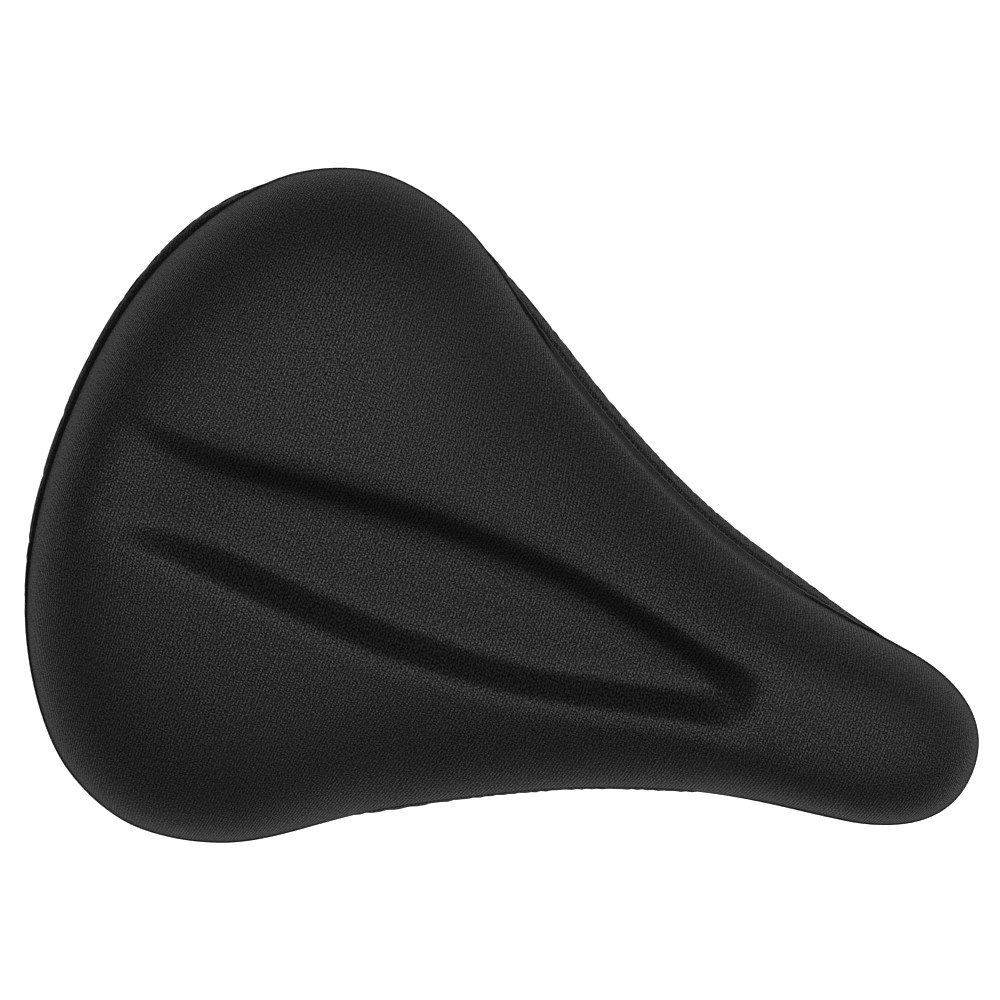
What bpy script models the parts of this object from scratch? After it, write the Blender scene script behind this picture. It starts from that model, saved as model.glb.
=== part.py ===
"""A sprung comfort bicycle saddle: padded seat, plastic base, wire rails, coil springs and seatpost clamp.

Metres, +Z up. +X points to the saddle's nose and +Y to the rider's left. The origin is the centre of the
seatpost socket's mouth, where the post enters the clamp from below.
"""

import math

import bmesh
import bpy
from mathutils import Matrix, Vector
from mathutils.bvhtree import BVHTree
from mathutils.geometry import interpolate_bezier

# ---- driving dimensions -------------------------------------------------------------------------
GAP = 0.0003  # clearance that touching parts keep
FOAM_LIFT = 0.0007  # the foam's underside, above the base

# Left half of the seat's plan outline, rear centre to nose tip: cubic Bezier arcs.
OUTLINE = (
    ((-0.145, 0.0), (-0.145, 0.0776), (-0.1025, 0.100), (-0.0825, 0.100)),
    ((-0.0825, 0.100), (-0.0545, 0.100), (-0.0345, 0.080), (-0.0005, 0.0615)),
    ((-0.0005, 0.0615), (0.035, 0.0422), (0.052, 0.0368), (0.107, 0.0259)),
    ((0.107, 0.0259), (0.1205, 0.0233), (0.135, 0.0169), (0.135, 0.0)),
)
OUTLINE_STEPS = (9, 8, 10, 6)  # mesh columns along each arc
SPINE = (-0.108, 0.098)  # x of the crown line's two ends
EDGE_Z = (  # (x, height) of the widest level: highest at the waist
    (-0.145, 0.118), (-0.078, 0.1168), (-0.040, 0.1195), (-0.008, 0.1225), (0.052, 0.1196),
    (0.086, 0.1122), (0.108, 0.1098), (0.135, 0.109),
)
CROWN_Z = ((-0.145, 0.157), (-0.090, 0.157), (-0.020, 0.150), (0.045, 0.142), (0.135, 0.133))
TROUGH_HALF_WIDTH = (  # (x, half-width between the wall centres) of the central relief channel
    (-0.145, 0.021), (-0.118, 0.0145), (-0.097, 0.0135), (-0.060, 0.0165), (-0.035, 0.0178),
    (0.000, 0.0163), (0.018, 0.0135), (0.037, 0.0096), (0.052, 0.0066), (0.066, 0.0048),
    (0.095, 0.0),
)
TROUGH_DEPTH = 0.011
TROUGH_WALL = 0.0045  # half the wall's width in plan
TROUGH_FADE = (-0.130, -0.104)  # x range over which the channel fades in at the rear
TROUGH_FRONT = 0.0600  # x of the middle of its front wall
TROUGH_BLEND = 0.003  # how far the side and front walls round into each other
REAR_INSET = 0.0016  # across the rear the top panel's widest point is this far inside the outline
SEAM_TUCK, SEAM_DROP = 0.0016, 0.0068  # the seam, inwards of the widest point, and below it
# At the waist the pad ends in a ridge, and the panel falls from it, flaring out, to the seam.
RIDGE_INSET, RIDGE_RISE = 0.0056, 0.0040  # inside the outline, and above the widest level
FLARE_INSET, FLARE_DROP = 0.0014, 0.0055  # the seam there, inside the outline and below the widest level

COVER_THICKNESS = 0.0012
FOAM_INSET = 0.0024  # from the cover's outer face to the foam
FOAM_RIM_DROP = 0.0130  # the foam's lower edge, below the widest level
GEL_THICKNESS = 0.009
GEL_CENTRE = (-0.080, 0.052)
GEL_RADII = (0.036, 0.027)
GEL_RINGS, GEL_SIDES = 4, 20
POCKET_PLAY, POCKET_RISE = 0.0005, 0.006  # how far the foam's gel pocket is larger, and open upwards

BASE_THICKNESS = 0.0035
BASE_INSET = 0.0055  # base rim, inside the seat's outline
BASE_DROP = 0.0195  # base rim's underside, below the widest level
BASE_DOME = 0.006
BOSS_HALF_WIDTH, BOSS_TOP = 0.053, 0.1036  # the bar of bosses above the upper spring plate
NOSE_BOSS_HALF_WIDTH, NOSE_BOSS_Z = 0.009, (0.0880, 0.0961)
PLATE_Z = 0.097  # underside of the upper spring plate
SPRING_PLATE = (0.032, 0.122, 0.0025)  # length, width, thickness of the upper spring plate
BRIDGE = (0.032, 0.122, 0.003)  # and of the lower one
SPRING_X, SPRING_Y = -0.105, 0.045
SPRING_RADIUS, SPRING_WIRE = 0.015, 0.002  # mean coil radius, wire radius
SPRING_TURNS, SPRING_END_TURNS = 5.5, 0.8
SPRING_END_PITCH = 2.25  # rise of each end turn, in wire radii
PLATE_BOLT_Y = 0.022
CUP_HEIGHT, CUP_STEP = 0.0040, 0.0012  # the cup's spigot, and how far its rim lies below it

M5, M6, M8 = 0.0025, 0.003, 0.004  # bolt shank radii
HOLE_PLAY = 0.0004  # how much wider a bolt's hole is, in radius
M5_HEAD, M6_HEAD = 0.0035, 0.004  # head heights
HEAD_RATIO = 1.85  # corner radius of a small hexagon head, in shank radii
M5_NUT, M6_NUT, M8_NUT = (0.0048, 0.004), (0.0058, 0.005), (0.0074, 0.0068)  # corner radius, height
BASE_BOLT_TOP = 0.1025  # where the bolts end inside the base's bosses
NOSE_SCREW_TOP = 0.0925

RAIL_WIRE = 0.0035
RAIL_Y, RAIL_Z = 0.022, 0.061
RAIL_REAR_Z = 0.0507
RAIL_BEND = 0.016
NOSE_X, NOSE_Z, NOSE_Y = 0.105, 0.077, 0.0145  # the rails' cross bar, on which the seat hinges
NOSE_BEND = 0.007
NOSE_BLOCK = (0.030, 0.0150)  # length, width of the nose bracket and its cap
NOSE_CAP_HEIGHT = 0.0075
NOSE_SCREW_X = 0.0098
KEEPER_HALF = (0.011, 0.031)  # half length and width of the clamp block under the rails' rear ends
KEEPER_Z = (-0.0055, 0.0012)  # its underside and top, from the middle of the rails' rear ends
KEEPER_GROOVE = 0.0038
KEEPER_BOLT_Y = 0.009

POST_RADIUS, STRAP_WALL, SOCKET_HEIGHT = 0.0112, 0.0032, 0.028
STRAP_SLOT = 0.0016  # half-width of the split at its back
BOLT_Z = 0.050  # the tilt axis: the middle of the clamp bolt
CHEEK_Y, CHEEK_RADIUS = (0.0086, 0.0126), 0.0135
NECK_HALF_WIDTH, NECK_FOOT = 0.0085, 0.012  # the cheeks' necks, and how far they reach down the socket
PLATE_LENGTH, PLATE_HEIGHT, PLATE_CORNER = 0.027, 0.031, 0.007
INNER_PLATE_Y, OUTER_PLATE_Y = (0.0129, 0.0217), (0.0223, 0.0285)
WASHER_RADIUS, WASHER_THICKNESS = 0.0085, 0.0016
CLAMP_HEAD_HEIGHT, CLAMP_TAIL = 0.0055, 0.0105  # the bolt's head, and its reach past the washer
ACROSS = (math.pi / 2, 0, 0)  # turns a part's own Z to the saddle's width
ROUND = 24  # sides of a plain round part
FAR = 0.05  # half the length of a cutter that passes right through

# ---- scene and materials ------------------------------------------------------------------------
for old in list(bpy.data.objects):
    bpy.data.objects.remove(old, do_unlink=True)
PARTS = bpy.data.collections.new("bicycle_saddle")
CUTTERS = bpy.data.collections.new("cutters")
bpy.context.scene.collection.children.link(PARTS)
bpy.context.scene.collection.children.link(CUTTERS)


def material(name, colour, roughness, metallic=0.0):
    made = bpy.data.materials.new(name)
    made.use_nodes = True
    shader = made.node_tree.nodes["Principled BSDF"]
    shader.inputs["Base Color"].default_value = (*colour, 1.0)
    shader.inputs["Roughness"].default_value = roughness
    shader.inputs["Metallic"].default_value = metallic
    return made


KNIT = material("knit_fabric", (0.020, 0.020, 0.021), 0.85)
SKIRT = material("skirt_fabric", (0.014, 0.014, 0.015), 0.9)
FOAM = material("foam", (0.16, 0.16, 0.17), 0.95)
GEL = material("gel", (0.10, 0.22, 0.42), 0.35)
PLASTIC = material("base_plastic", (0.022, 0.022, 0.024), 0.55)
STEEL = material("black_steel", (0.030, 0.030, 0.032), 0.4, 1.0)
SPRING_STEEL = material("spring_steel", (0.55, 0.55, 0.57), 0.28, 1.0)
ZINC = material("zinc_plated_steel", (0.62, 0.62, 0.63), 0.32, 1.0)


# ---- small modelling helpers --------------------------------------------------------------------
def place(name, mesh, finish, location=(0, 0, 0), rotation=(0, 0, 0)):
    """A part, or a hidden cutter if it has no finish."""
    made = bpy.data.objects.new(name, mesh)
    made.location = location
    made.rotation_euler = rotation
    if finish is None:
        CUTTERS.objects.link(made)
        made.hide_render = True
        made.display_type = "WIRE"
    else:
        PARTS.objects.link(made)
        mesh.materials.append(finish)
    return made


def mesh_from(bm, name):
    bmesh.ops.recalc_face_normals(bm, faces=bm.faces)
    mesh = bpy.data.meshes.new(name)
    bm.to_mesh(mesh)
    bm.free()
    return mesh


def smooth(thing, angle=35):
    thing.data.shade_smooth()
    thing.data.set_sharp_from_angle(angle=math.radians(angle))
    return thing


def cylinder(name, radius, z_range, finish, x=0.0, y=0.0, sides=ROUND):
    bm = bmesh.new()
    low, high = z_range
    bmesh.ops.create_cone(
        bm, cap_ends=True, segments=sides, radius1=radius, radius2=radius, depth=high - low
    )
    return smooth(place(name, mesh_from(bm, name), finish, (x, y, (low + high) / 2)))


def cylinder_y(name, radius, y_range, finish, x=0.0, z=0.0, sides=ROUND):
    """A cylinder along Y."""
    made = cylinder(name, radius, y_range, finish, sides=sides)
    made.rotation_euler = ACROSS
    made.location = (x, sum(y_range) / 2, z)
    return made


def block(name, x_range, y_range, z_range, finish, round_edges=0.0):
    """A box between three pairs of limits, its edges bevelled if asked."""
    bm = bmesh.new()
    bmesh.ops.create_cube(bm, size=1.0)
    ranges = (x_range, y_range, z_range)
    size = [high - low for low, high in ranges]
    centre = [(high + low) / 2 for low, high in ranges]
    bmesh.ops.scale(bm, vec=size, verts=bm.verts)
    made = place(name, mesh_from(bm, name), finish, centre)
    if round_edges:
        bevel = made.modifiers.new("rounded", "BEVEL")
        bevel.width = round_edges
        bevel.segments = 2
        bevel.use_clamp_overlap = True
    return made


def stadium(name, size, z_low, finish, x=0.0, y=0.0, end_steps=10):
    """A flat plate with round ends along Y: a filled 2D curve, extruded and made a mesh."""
    length, width, thickness = size
    radius = length / 2
    reach = width / 2 - radius
    turns = [math.pi * k / end_steps for k in range(end_steps + 1)]
    points = [(radius * math.cos(t), reach + radius * math.sin(t)) for t in turns]
    points += [(-px, -py) for px, py in points]
    return outline_plate(name, points, thickness, finish, (x, y, z_low + thickness / 2))


def outline_plate(name, points, thickness, finish, location=(0, 0, 0), rotation=(0, 0, 0)):
    """A flat closed outline given a thickness, centred on its own plane."""
    curve = bpy.data.curves.new(name, "CURVE")
    curve.dimensions = "2D"
    curve.fill_mode = "BOTH"
    curve.extrude = thickness / 2
    spline = curve.splines.new("POLY")
    spline.points.add(len(points) - 1)
    for point, (px, py) in zip(spline.points, points):
        point.co = (px, py, 0, 1)
    spline.use_cyclic_u = True
    return curve_to_part(name, curve, finish, location, rotation)


def curve_to_part(name, curve, finish, location=(0, 0, 0), rotation=(0, 0, 0)):
    """The mesh of a curve, its caps welded."""
    guide = bpy.data.objects.new(name + "_curve", curve)
    bpy.context.scene.collection.objects.link(guide)
    graph = bpy.context.evaluated_depsgraph_get()
    raw = bpy.data.meshes.new_from_object(guide.evaluated_get(graph))
    bm = bmesh.new()
    bm.from_mesh(raw)
    bmesh.ops.remove_doubles(bm, verts=bm.verts, dist=1e-6)
    bpy.data.objects.remove(guide, do_unlink=True)
    bpy.data.meshes.remove(raw)
    return place(name, mesh_from(bm, name), finish, location, rotation)


def wire(name, points, radius, finish, sides_level=2):
    """Round wire along a list of points."""
    curve = bpy.data.curves.new(name, "CURVE")
    curve.dimensions = "3D"
    curve.bevel_depth = radius
    curve.bevel_resolution = sides_level
    curve.use_fill_caps = True
    spline = curve.splines.new("POLY")
    spline.points.add(len(points) - 1)
    for point, place_ in zip(spline.points, points):
        point.co = (*place_, 1)
    return smooth(curve_to_part(name, curve, finish), 50)


def boolean(target, other, operation):
    step = target.modifiers.new(other.name, "BOOLEAN")
    step.operation = operation
    step.solver = "EXACT"
    step.object = other
    return target


def cut(target, *cutters):
    for cutter in cutters:
        boolean(target, cutter, "DIFFERENCE")
    return target


def join(target, *others):
    for other in others:
        boolean(target, other, "UNION")
    return target


def fillet_path(corners, radii, steps=4):
    """Straight runs through the corners, with a circular bend of the given radius at each inner one."""
    path = [Vector(corners[0])]
    for before, corner, after, radius in zip(corners, corners[1:], corners[2:], radii):
        corner = Vector(corner)
        into = (Vector(before) - corner).normalized()
        out = (Vector(after) - corner).normalized()
        half = into.angle(out) / 2
        centre = corner + (into + out).normalized() * (radius / math.sin(half))
        start = corner + into * (radius / math.tan(half))
        end = corner + out * (radius / math.tan(half))
        for k in range(steps + 1):
            arm = (start - centre).lerp(end - centre, k / steps).normalized()
            path.append(centre + arm * radius)
    path.append(Vector(corners[-1]))
    return path


# ---- seat surface -------------------------------------------------------------------------------
def ease(low, high, value):
    """0 below low, 1 above high, smooth in between."""
    t = min(max((value - low) / (high - low), 0.0), 1.0)
    return t * t * (3 - 2 * t)


def along(table, x):
    """The value at x of a smooth curve through a table of (x, value)."""
    if x <= table[0][0]:
        return table[0][1]
    for k in range(len(table) - 1):
        (x0, v0), (x1, v1) = table[k], table[k + 1]
        if x <= x1:
            before, after = table[max(k - 1, 0)], table[min(k + 2, len(table) - 1)]
            m0 = (v1 - before[1]) / (x1 - before[0])
            m1 = (after[1] - v0) / (after[0] - x0)
            t, h = (x - x0) / (x1 - x0), x1 - x0
            return (
                v0 * (1 + 2 * t) * (1 - t) ** 2 + v1 * t * t * (3 - 2 * t)
                + h * m0 * t * (1 - t) ** 2 - h * m1 * t * t * (1 - t)
            )
    return table[-1][1]


def outline_points():
    """(point, outward normal) at each mesh column of the left half outline."""
    samples = []
    for arc, steps in zip(OUTLINE, OUTLINE_STEPS):
        arc = [Vector((px, py, 0)) for px, py in arc]
        found = interpolate_bezier(*arc, steps + 1)
        samples += found if not samples else found[1:]
    stations = []
    for k, point in enumerate(samples):
        ahead, behind = samples[min(k + 1, len(samples) - 1)], samples[max(k - 1, 0)]
        tangent = ahead - behind
        normal = Vector((-tangent.y, tangent.x, 0)).normalized()
        if k == 0:
            normal = Vector((-1, 0, 0))
        if k == len(samples) - 1:
            normal = Vector((1, 0, 0))
        stations.append((point, normal))
    return stations


STATIONS = outline_points()


def trough_depth(x, y):
    """How far the relief channel is sunk below the crown at (x, y)."""
    beside = abs(y) - along(TROUGH_HALF_WIDTH, x)
    ahead = (x - TROUGH_FRONT) * 0.6
    blend = max(TROUGH_BLEND - abs(beside - ahead), 0.0)
    outside = max(beside, ahead) + blend * blend / (4 * TROUGH_BLEND)
    inside = 1 - ease(-TROUGH_WALL, TROUGH_WALL, outside)
    return TROUGH_DEPTH * inside * ease(*TROUGH_FADE, x)


def flare(station):
    """1 along the waist, where the pad turns down early and the panel flares out to the seam."""
    x = station[0].x
    return ease(-0.060, -0.014, x) * (1 - ease(0.052, 0.112, x))


def rear_inset(station):
    return REAR_INSET * ease(0.55, 0.90, -station[1].x)


def column_ends(station):
    """Where a column of the mesh starts on the crown line, and where the pad turns down, in plan."""
    point, normal = station
    run = (point.x - OUTLINE[0][0][0]) / (OUTLINE[-1][-1][0] - OUTLINE[0][0][0])
    spine = Vector((SPINE[0] + run * (SPINE[1] - SPINE[0]), 0, 0))
    inset = rear_inset(station)
    return spine, point - normal * (inset + (RIDGE_INSET - inset) * flare(station))


def top_point(station, share):
    """The cover's outer face: share runs from 0 at the crown line to 1 at the widest point."""
    spine, edge = column_ends(station)
    plan = spine.lerp(edge, share)
    ridge = flare(station)
    low, high = along(EDGE_Z, plan.x) + RIDGE_RISE * ridge, along(CROWN_Z, plan.x)
    rounded = max(1 - share**3.0, 0.0) ** 0.5
    ridged = max(1 - share**2.6, 0.0) ** 0.8
    fall = rounded + (ridged - rounded) * ridge
    return Vector((plan.x, plan.y, low + (high - low) * fall - trough_depth(plan.x, plan.y)))


def rim_point(station, inset, drop):
    """A point inset from the outline and below the widest level, both in metres."""
    point, normal = station
    plan = point - normal * inset
    return Vector((plan.x, plan.y, along(EDGE_Z, point.x) - drop))


def crossing(station, offset, least):
    """The share at which a column of the mesh passes the relief channel's edge, moved out by offset."""
    spine, edge = column_ends(station)
    low, high = 0.0, 1.0
    for _ in range(24):
        middle = (low + high) / 2
        plan = spine.lerp(edge, middle)
        if plan.y < along(TROUGH_HALF_WIDTH, plan.x) + offset:
            low = middle
        else:
            high = middle
    return least + (min(max(low, least), least + 0.28) - least) * ease(0.0, 0.03, edge.y)


def column_shares(station, steps):
    """Rows of a mesh column: two on the channel's floor, one up its wall, the rest out to the edge."""
    foot = crossing(station, -TROUGH_WALL, 0.08)
    brow = crossing(station, TROUGH_WALL, 0.26)
    shares = [0.0, foot, (foot + brow) / 2, brow]
    for k in range(1, steps + 1):
        shares.append(brow + (1 - brow) * math.sin(math.pi / 2 * k / steps) ** 0.9)
    return shares


def panel_edge(station, turn):
    """Below its widest point the top panel curls in, or flares out, to the seam: turn runs 0 to 1."""
    angle = turn * math.pi / 2
    tuck, fall = SEAM_TUCK * (1 - math.cos(angle)), SEAM_DROP * math.sin(angle)
    curled = Vector((rear_inset(station) + tuck, fall))
    flared = Vector((RIDGE_INSET, -RIDGE_RISE)).lerp(Vector((FLARE_INSET, FLARE_DROP)), turn)
    inset, drop = curled.lerp(flared, flare(station))
    return rim_point(station, inset, drop)


def half_sheet(rows):
    """A grid of points over the left half, as a mesh that is open at the plane y = 0."""
    bm = bmesh.new()
    grid = [[bm.verts.new(point) for point in row] for row in rows]
    for row, following in zip(grid, grid[1:]):
        for a, b, c, d in zip(row, row[1:], following[1:], following):
            bm.faces.new((a, b, c, d))
    for vert in bm.verts:
        if abs(vert.co.y) < 1e-6:
            vert.co.y = 0.0
    return bm


def mirrored(name, rows, finish):
    """A symmetric sheet, or a closed solid, from its left half."""
    bm = half_sheet(rows)
    mesh = bpy.data.meshes.new(name)
    bm.to_mesh(mesh)
    bm.free()
    made = smooth(place(name, mesh, finish), 60)
    mirror = made.modifiers.new("mirror", "MIRROR")
    mirror.use_axis = (False, True, False)
    mirror.use_mirror_merge = True
    mirror.merge_threshold = 1e-5
    return made


def thicken(made, thickness, side):
    """Solidify a sheet: side -1 grows it inwards and 1 outwards."""
    shell = made.modifiers.new("thickness", "SOLIDIFY")
    shell.thickness = thickness
    shell.offset = side
    return made


def inwards(rows, depth):
    """The same grid moved inwards along its own normals."""
    sheet = half_sheet(rows)
    sheet.normal_update()
    moved = []
    for vert in sheet.verts:
        normal = vert.normal.copy()
        if vert.co.y == 0:
            normal.y = 0
            normal.normalize()
        moved.append(vert.co - normal * depth)
    sheet.free()
    count = len(rows[0])
    return [moved[k : k + count] for k in range(0, len(moved), count)]


def top_rows(steps=6, curl=(0.5, 1.0)):
    columns = [[top_point(s, share) for share in column_shares(s, steps)] for s in STATIONS]
    rows = [list(row) for row in zip(*columns)]
    return rows + [[panel_edge(s, turn) for s in STATIONS] for turn in curl]


def cover_top():
    """Moulded knit panel over the whole top, down to the seam."""
    return thicken(mirrored("cover_top", top_rows(), KNIT), COVER_THICKNESS, -1)


def surface_tree():
    rows = top_rows()
    count = len(STATIONS)
    points = [point for row in rows for point in row]
    faces = [
        (j * count + i, j * count + i + 1, (j + 1) * count + i + 1, (j + 1) * count + i)
        for j in range(len(rows) - 1)
        for i in range(count - 1)
    ]
    return BVHTree.FromPolygons(points, faces)


SURFACE = surface_tree()


def skirt_rows():
    """Rows from the seam to the hem: insets at the waist, across the rear and elsewhere, and the drop."""
    rows = []
    for flared, rear, tucked, drop in (
        (0.0016, 0.0024, 0.0024, 0.0084),
        (0.0, 0.0, 0.0020, 0.0128),
        (0.0015, 0.0014, 0.0030, 0.0174),
        (0.0044, 0.0046, 0.0048, 0.0212),
        (0.0100, 0.0100, 0.0102, 0.0214),
    ):
        row = []
        for station in STATIONS:
            plain = tucked + (rear - tucked) * rear_inset(station) / REAR_INSET
            row.append(rim_point(station, plain + (flared - plain) * flare(station), drop))
        rows.append(row)
    return rows


def cover_skirt():
    """Side panel of the cover, from the seam round the base's rim to the hem beneath it."""
    return thicken(mirrored("cover_skirt", skirt_rows(), SKIRT), COVER_THICKNESS, -1)


def base_rows(lift):
    """Rows of the base's underside from its crown line to its rim, raised by lift."""
    rows = []
    for share in (0.0, 0.35, 0.7, 1.0):
        row = []
        for station in STATIONS:
            rim = rim_point(station, BASE_INSET, BASE_DROP)
            spine = top_point(station, 0.0)
            x, y = spine.x + (rim.x - spine.x) * share, rim.y * share
            z = along(EDGE_Z, x) - BASE_DROP + BASE_DOME * (1 - share**2.2)
            row.append(Vector((x, y, z + lift)))
        rows.append(row)
    return rows


def base_shell():
    """Moulded plastic base with a bar of bosses at the rear and a boss at the nose."""
    base = thicken(mirrored("base_shell", base_rows(0), PLASTIC), BASE_THICKNESS, 1)
    plate_top = PLATE_Z + SPRING_PLATE[2]
    half_x = SPRING_PLATE[0] / 2
    rear = block(
        "rear_boss", (SPRING_X - half_x, SPRING_X + half_x), (-BOSS_HALF_WIDTH, BOSS_HALF_WIDTH),
        (plate_top + GAP, BOSS_TOP), None, 0.001,
    )
    nose = block(
        "nose_boss", (NOSE_X - NOSE_BLOCK[0] / 2, NOSE_X + NOSE_BLOCK[0] / 2),
        (-NOSE_BOSS_HALF_WIDTH, NOSE_BOSS_HALF_WIDTH), NOSE_BOSS_Z, None, 0.001,
    )
    join(base, rear, nose)
    holes = [
        cylinder(f"plate_hole_{k}", M6 + HOLE_PLAY, (0.095, 0.112), None, SPRING_X, y, 12)
        for k, y in enumerate((-SPRING_Y, -PLATE_BOLT_Y, PLATE_BOLT_Y, SPRING_Y))
    ]
    holes += [
        cylinder(f"nose_hole_{k}", M5 + HOLE_PLAY, (0.060, 0.105), None, NOSE_X + x, 0, 12)
        for k, x in enumerate((-NOSE_SCREW_X, NOSE_SCREW_X))
    ]
    cut(base, *holes)
    return holes


def gel_lens(name, side, grow, finish):
    """A gel pad: an egg-shaped lens whose top follows the seat. grow swells it for the foam's pocket."""
    bm = bmesh.new()
    rims = []
    for layer in (0, 1):
        centre = bm.verts.new(lens_point(side, 0, 0, layer, grow))
        grid = []
        for ring in range(1, GEL_RINGS + 1):
            turns = [2 * math.pi * k / GEL_SIDES for k in range(GEL_SIDES)]
            points = [lens_point(side, ring / GEL_RINGS, turn, layer, grow) for turn in turns]
            grid.append([bm.verts.new(point) for point in points])
        for k in range(GEL_SIDES):
            bm.faces.new((centre, grid[0][k], grid[0][k - 1]))
            for inner, outer in zip(grid, grid[1:]):
                bm.faces.new((inner[k - 1], inner[k], outer[k], outer[k - 1]))
        rims.append(grid[-1])
    top, bottom = rims
    for k in range(GEL_SIDES):
        bm.faces.new((top[k - 1], top[k], bottom[k], bottom[k - 1]))
    return smooth(place(name, mesh_from(bm, name), finish), 60)


def lens_point(side, share, turn, layer, grow):
    """A point of the gel pad: layer 0 is its top face and layer 1 its bottom."""
    x = GEL_CENTRE[0] + (GEL_RADII[0] + grow) * share * math.cos(turn)
    y = side * (GEL_CENTRE[1] + (GEL_RADII[1] + grow) * share * math.sin(turn))
    top = surface_height(x, abs(y)) - FOAM_INSET - GAP
    if layer == 0:
        return (x, y, top + (POCKET_RISE if grow else 0.0))
    return (x, y, top - GEL_THICKNESS * (1 - 0.8 * share**4) - grow)


def surface_height(x, y):
    """Height of the cover's outer face above (x, y), on the left half."""
    hit = SURFACE.ray_cast(Vector((x, y, 1.0)), Vector((0, 0, -1)))
    return hit[0].z


def foam_pad():
    """Moulded foam on the base, with a pocket for each gel pad."""
    rows = inwards(top_rows(), FOAM_INSET)
    floor = base_rows(BASE_THICKNESS + FOAM_LIFT)
    rows.append([rim_point(s, BASE_INSET - 0.0004, FOAM_RIM_DROP) for s in STATIONS])
    rows += floor[::-1]
    foam = mirrored("foam_pad", rows, FOAM)
    for side, word in ((1, "left"), (-1, "right")):
        cut(foam, gel_lens(f"gel_pocket_{word}", side, POCKET_PLAY, None))
    return foam


def build_seat():
    cover_top()
    cover_skirt()
    foam_pad()
    for side, word in ((1, "left"), (-1, "right")):
        gel_lens(f"gel_pad_{word}", side, 0.0, GEL)
    build_seat_fittings(base_shell())


# ---- fasteners ----------------------------------------------------------------------------------
def hex_bolt(name, radius, z_head, head_height, z_end, finish, x=0.0, y=0.0):
    """A bolt whose head hangs at z_head and whose shank rises to z_end."""
    bolt = cylinder(name, radius, (z_head - head_height / 2, z_end), finish, x, y, 14)
    head = cylinder(
        name + "_head", radius * HEAD_RATIO, (z_head - head_height, z_head), None, x, y, 6
    )
    return join(bolt, head)


def turned(name, profile, finish, location=(0, 0, 0), rotation=(0, 0, 0), steps=ROUND):
    """A ring turned about Z from a closed profile of (radius, height)."""
    bm = bmesh.new()
    verts = [bm.verts.new((radius, 0, height)) for radius, height in profile]
    for a, b in zip(verts, verts[1:] + verts[:1]):
        bm.edges.new((a, b))
    mesh = bpy.data.meshes.new(name)
    bm.to_mesh(mesh)
    bm.free()
    made = place(name, mesh, finish, location, rotation)
    screw = made.modifiers.new("turn", "SCREW")
    screw.steps = screw.render_steps = steps
    screw.use_merge_vertices = True
    screw.merge_threshold = 1e-6
    return made


def washer(name, outer, inner, thickness, finish, location, rotation=(0, 0, 0)):
    """A flat ring standing on its location."""
    profile = ((outer, thickness), (outer, 0), (inner, 0), (inner, thickness))
    return turned(name, profile, finish, location, rotation)


def spring_cup(name, x, y, z, flip):
    """A dished seat that centres a spring's end coil: its spigot stands up from z, or down with flip."""
    spigot = SPRING_RADIUS - SPRING_WIRE - 0.0007
    well, rim, shelf = spigot - 0.0038, spigot - 0.0015, CUP_HEIGHT - CUP_STEP
    profile = (
        (rim, CUP_HEIGHT), (spigot, shelf), (spigot, 0), (M6 + HOLE_PLAY, 0),
        (M6 + HOLE_PLAY, shelf), (well, shelf), (well + 0.001, CUP_HEIGHT),
    )
    turn = (math.pi, 0, 0) if flip else (0, 0, 0)
    return turned(name, profile, STEEL, (x, y, z), turn)


def hex_nut(name, size, shank, finish, location, rotation=(0, 0, 0)):
    radius, height = size
    turns = [math.pi * k / 3 for k in range(6)]
    corners = [(radius * math.cos(turn), radius * math.sin(turn)) for turn in turns]
    nut = outline_plate(name, corners, height, finish, location, rotation)
    hole = cylinder(name + "_bore", shank + GAP, (-height, height), None, sides=14)
    hole.location = location
    hole.rotation_euler = rotation
    return cut(nut, hole)


# ---- upper spring plate and nose bracket, which ride with the seat ------------------------------
def build_seat_fittings(holes):
    plate = stadium("spring_plate", SPRING_PLATE, PLATE_Z, STEEL, SPRING_X)
    cut(plate, *holes[:4])
    for side, word in ((1, "left"), (-1, "right")):
        x, y = SPRING_X, side * SPRING_Y
        spring_cup(f"upper_spring_cup_{word}", x, y, PLATE_Z - GAP, True)
        head = PLATE_Z - CUP_HEIGHT + CUP_STEP - 2 * GAP
        hex_bolt(f"upper_spring_bolt_{word}", M6, head, M6_HEAD, BASE_BOLT_TOP, ZINC, x, y)
        y = side * PLATE_BOLT_Y
        hex_bolt(f"plate_bolt_{word}", M6, PLATE_Z - GAP, M6_HEAD, BASE_BOLT_TOP, ZINC, x, y)
    length, width = NOSE_BLOCK
    x_range = (NOSE_X - length / 2, NOSE_X + length / 2)
    y_range = (-width / 2, width / 2)
    groove = cylinder_y("nose_groove", RAIL_WIRE + HOLE_PLAY, (-FAR, FAR), None, NOSE_X, NOSE_Z)
    bracket = block("nose_bracket", x_range, y_range, (NOSE_Z, NOSE_BOSS_Z[0] - GAP), PLASTIC)
    cap_z = (NOSE_Z - NOSE_CAP_HEIGHT, NOSE_Z - GAP)
    cap = block("nose_cap", x_range, y_range, cap_z, STEEL, 0.001)
    cut(bracket, groove, *holes[4:])
    cut(cap, groove, *holes[4:])
    for word, x in (("rear", -NOSE_SCREW_X), ("front", NOSE_SCREW_X)):
        hex_bolt(f"nose_screw_{word}", M5, cap_z[0] - GAP, M5_HEAD, NOSE_SCREW_TOP, ZINC, NOSE_X + x)


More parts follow.
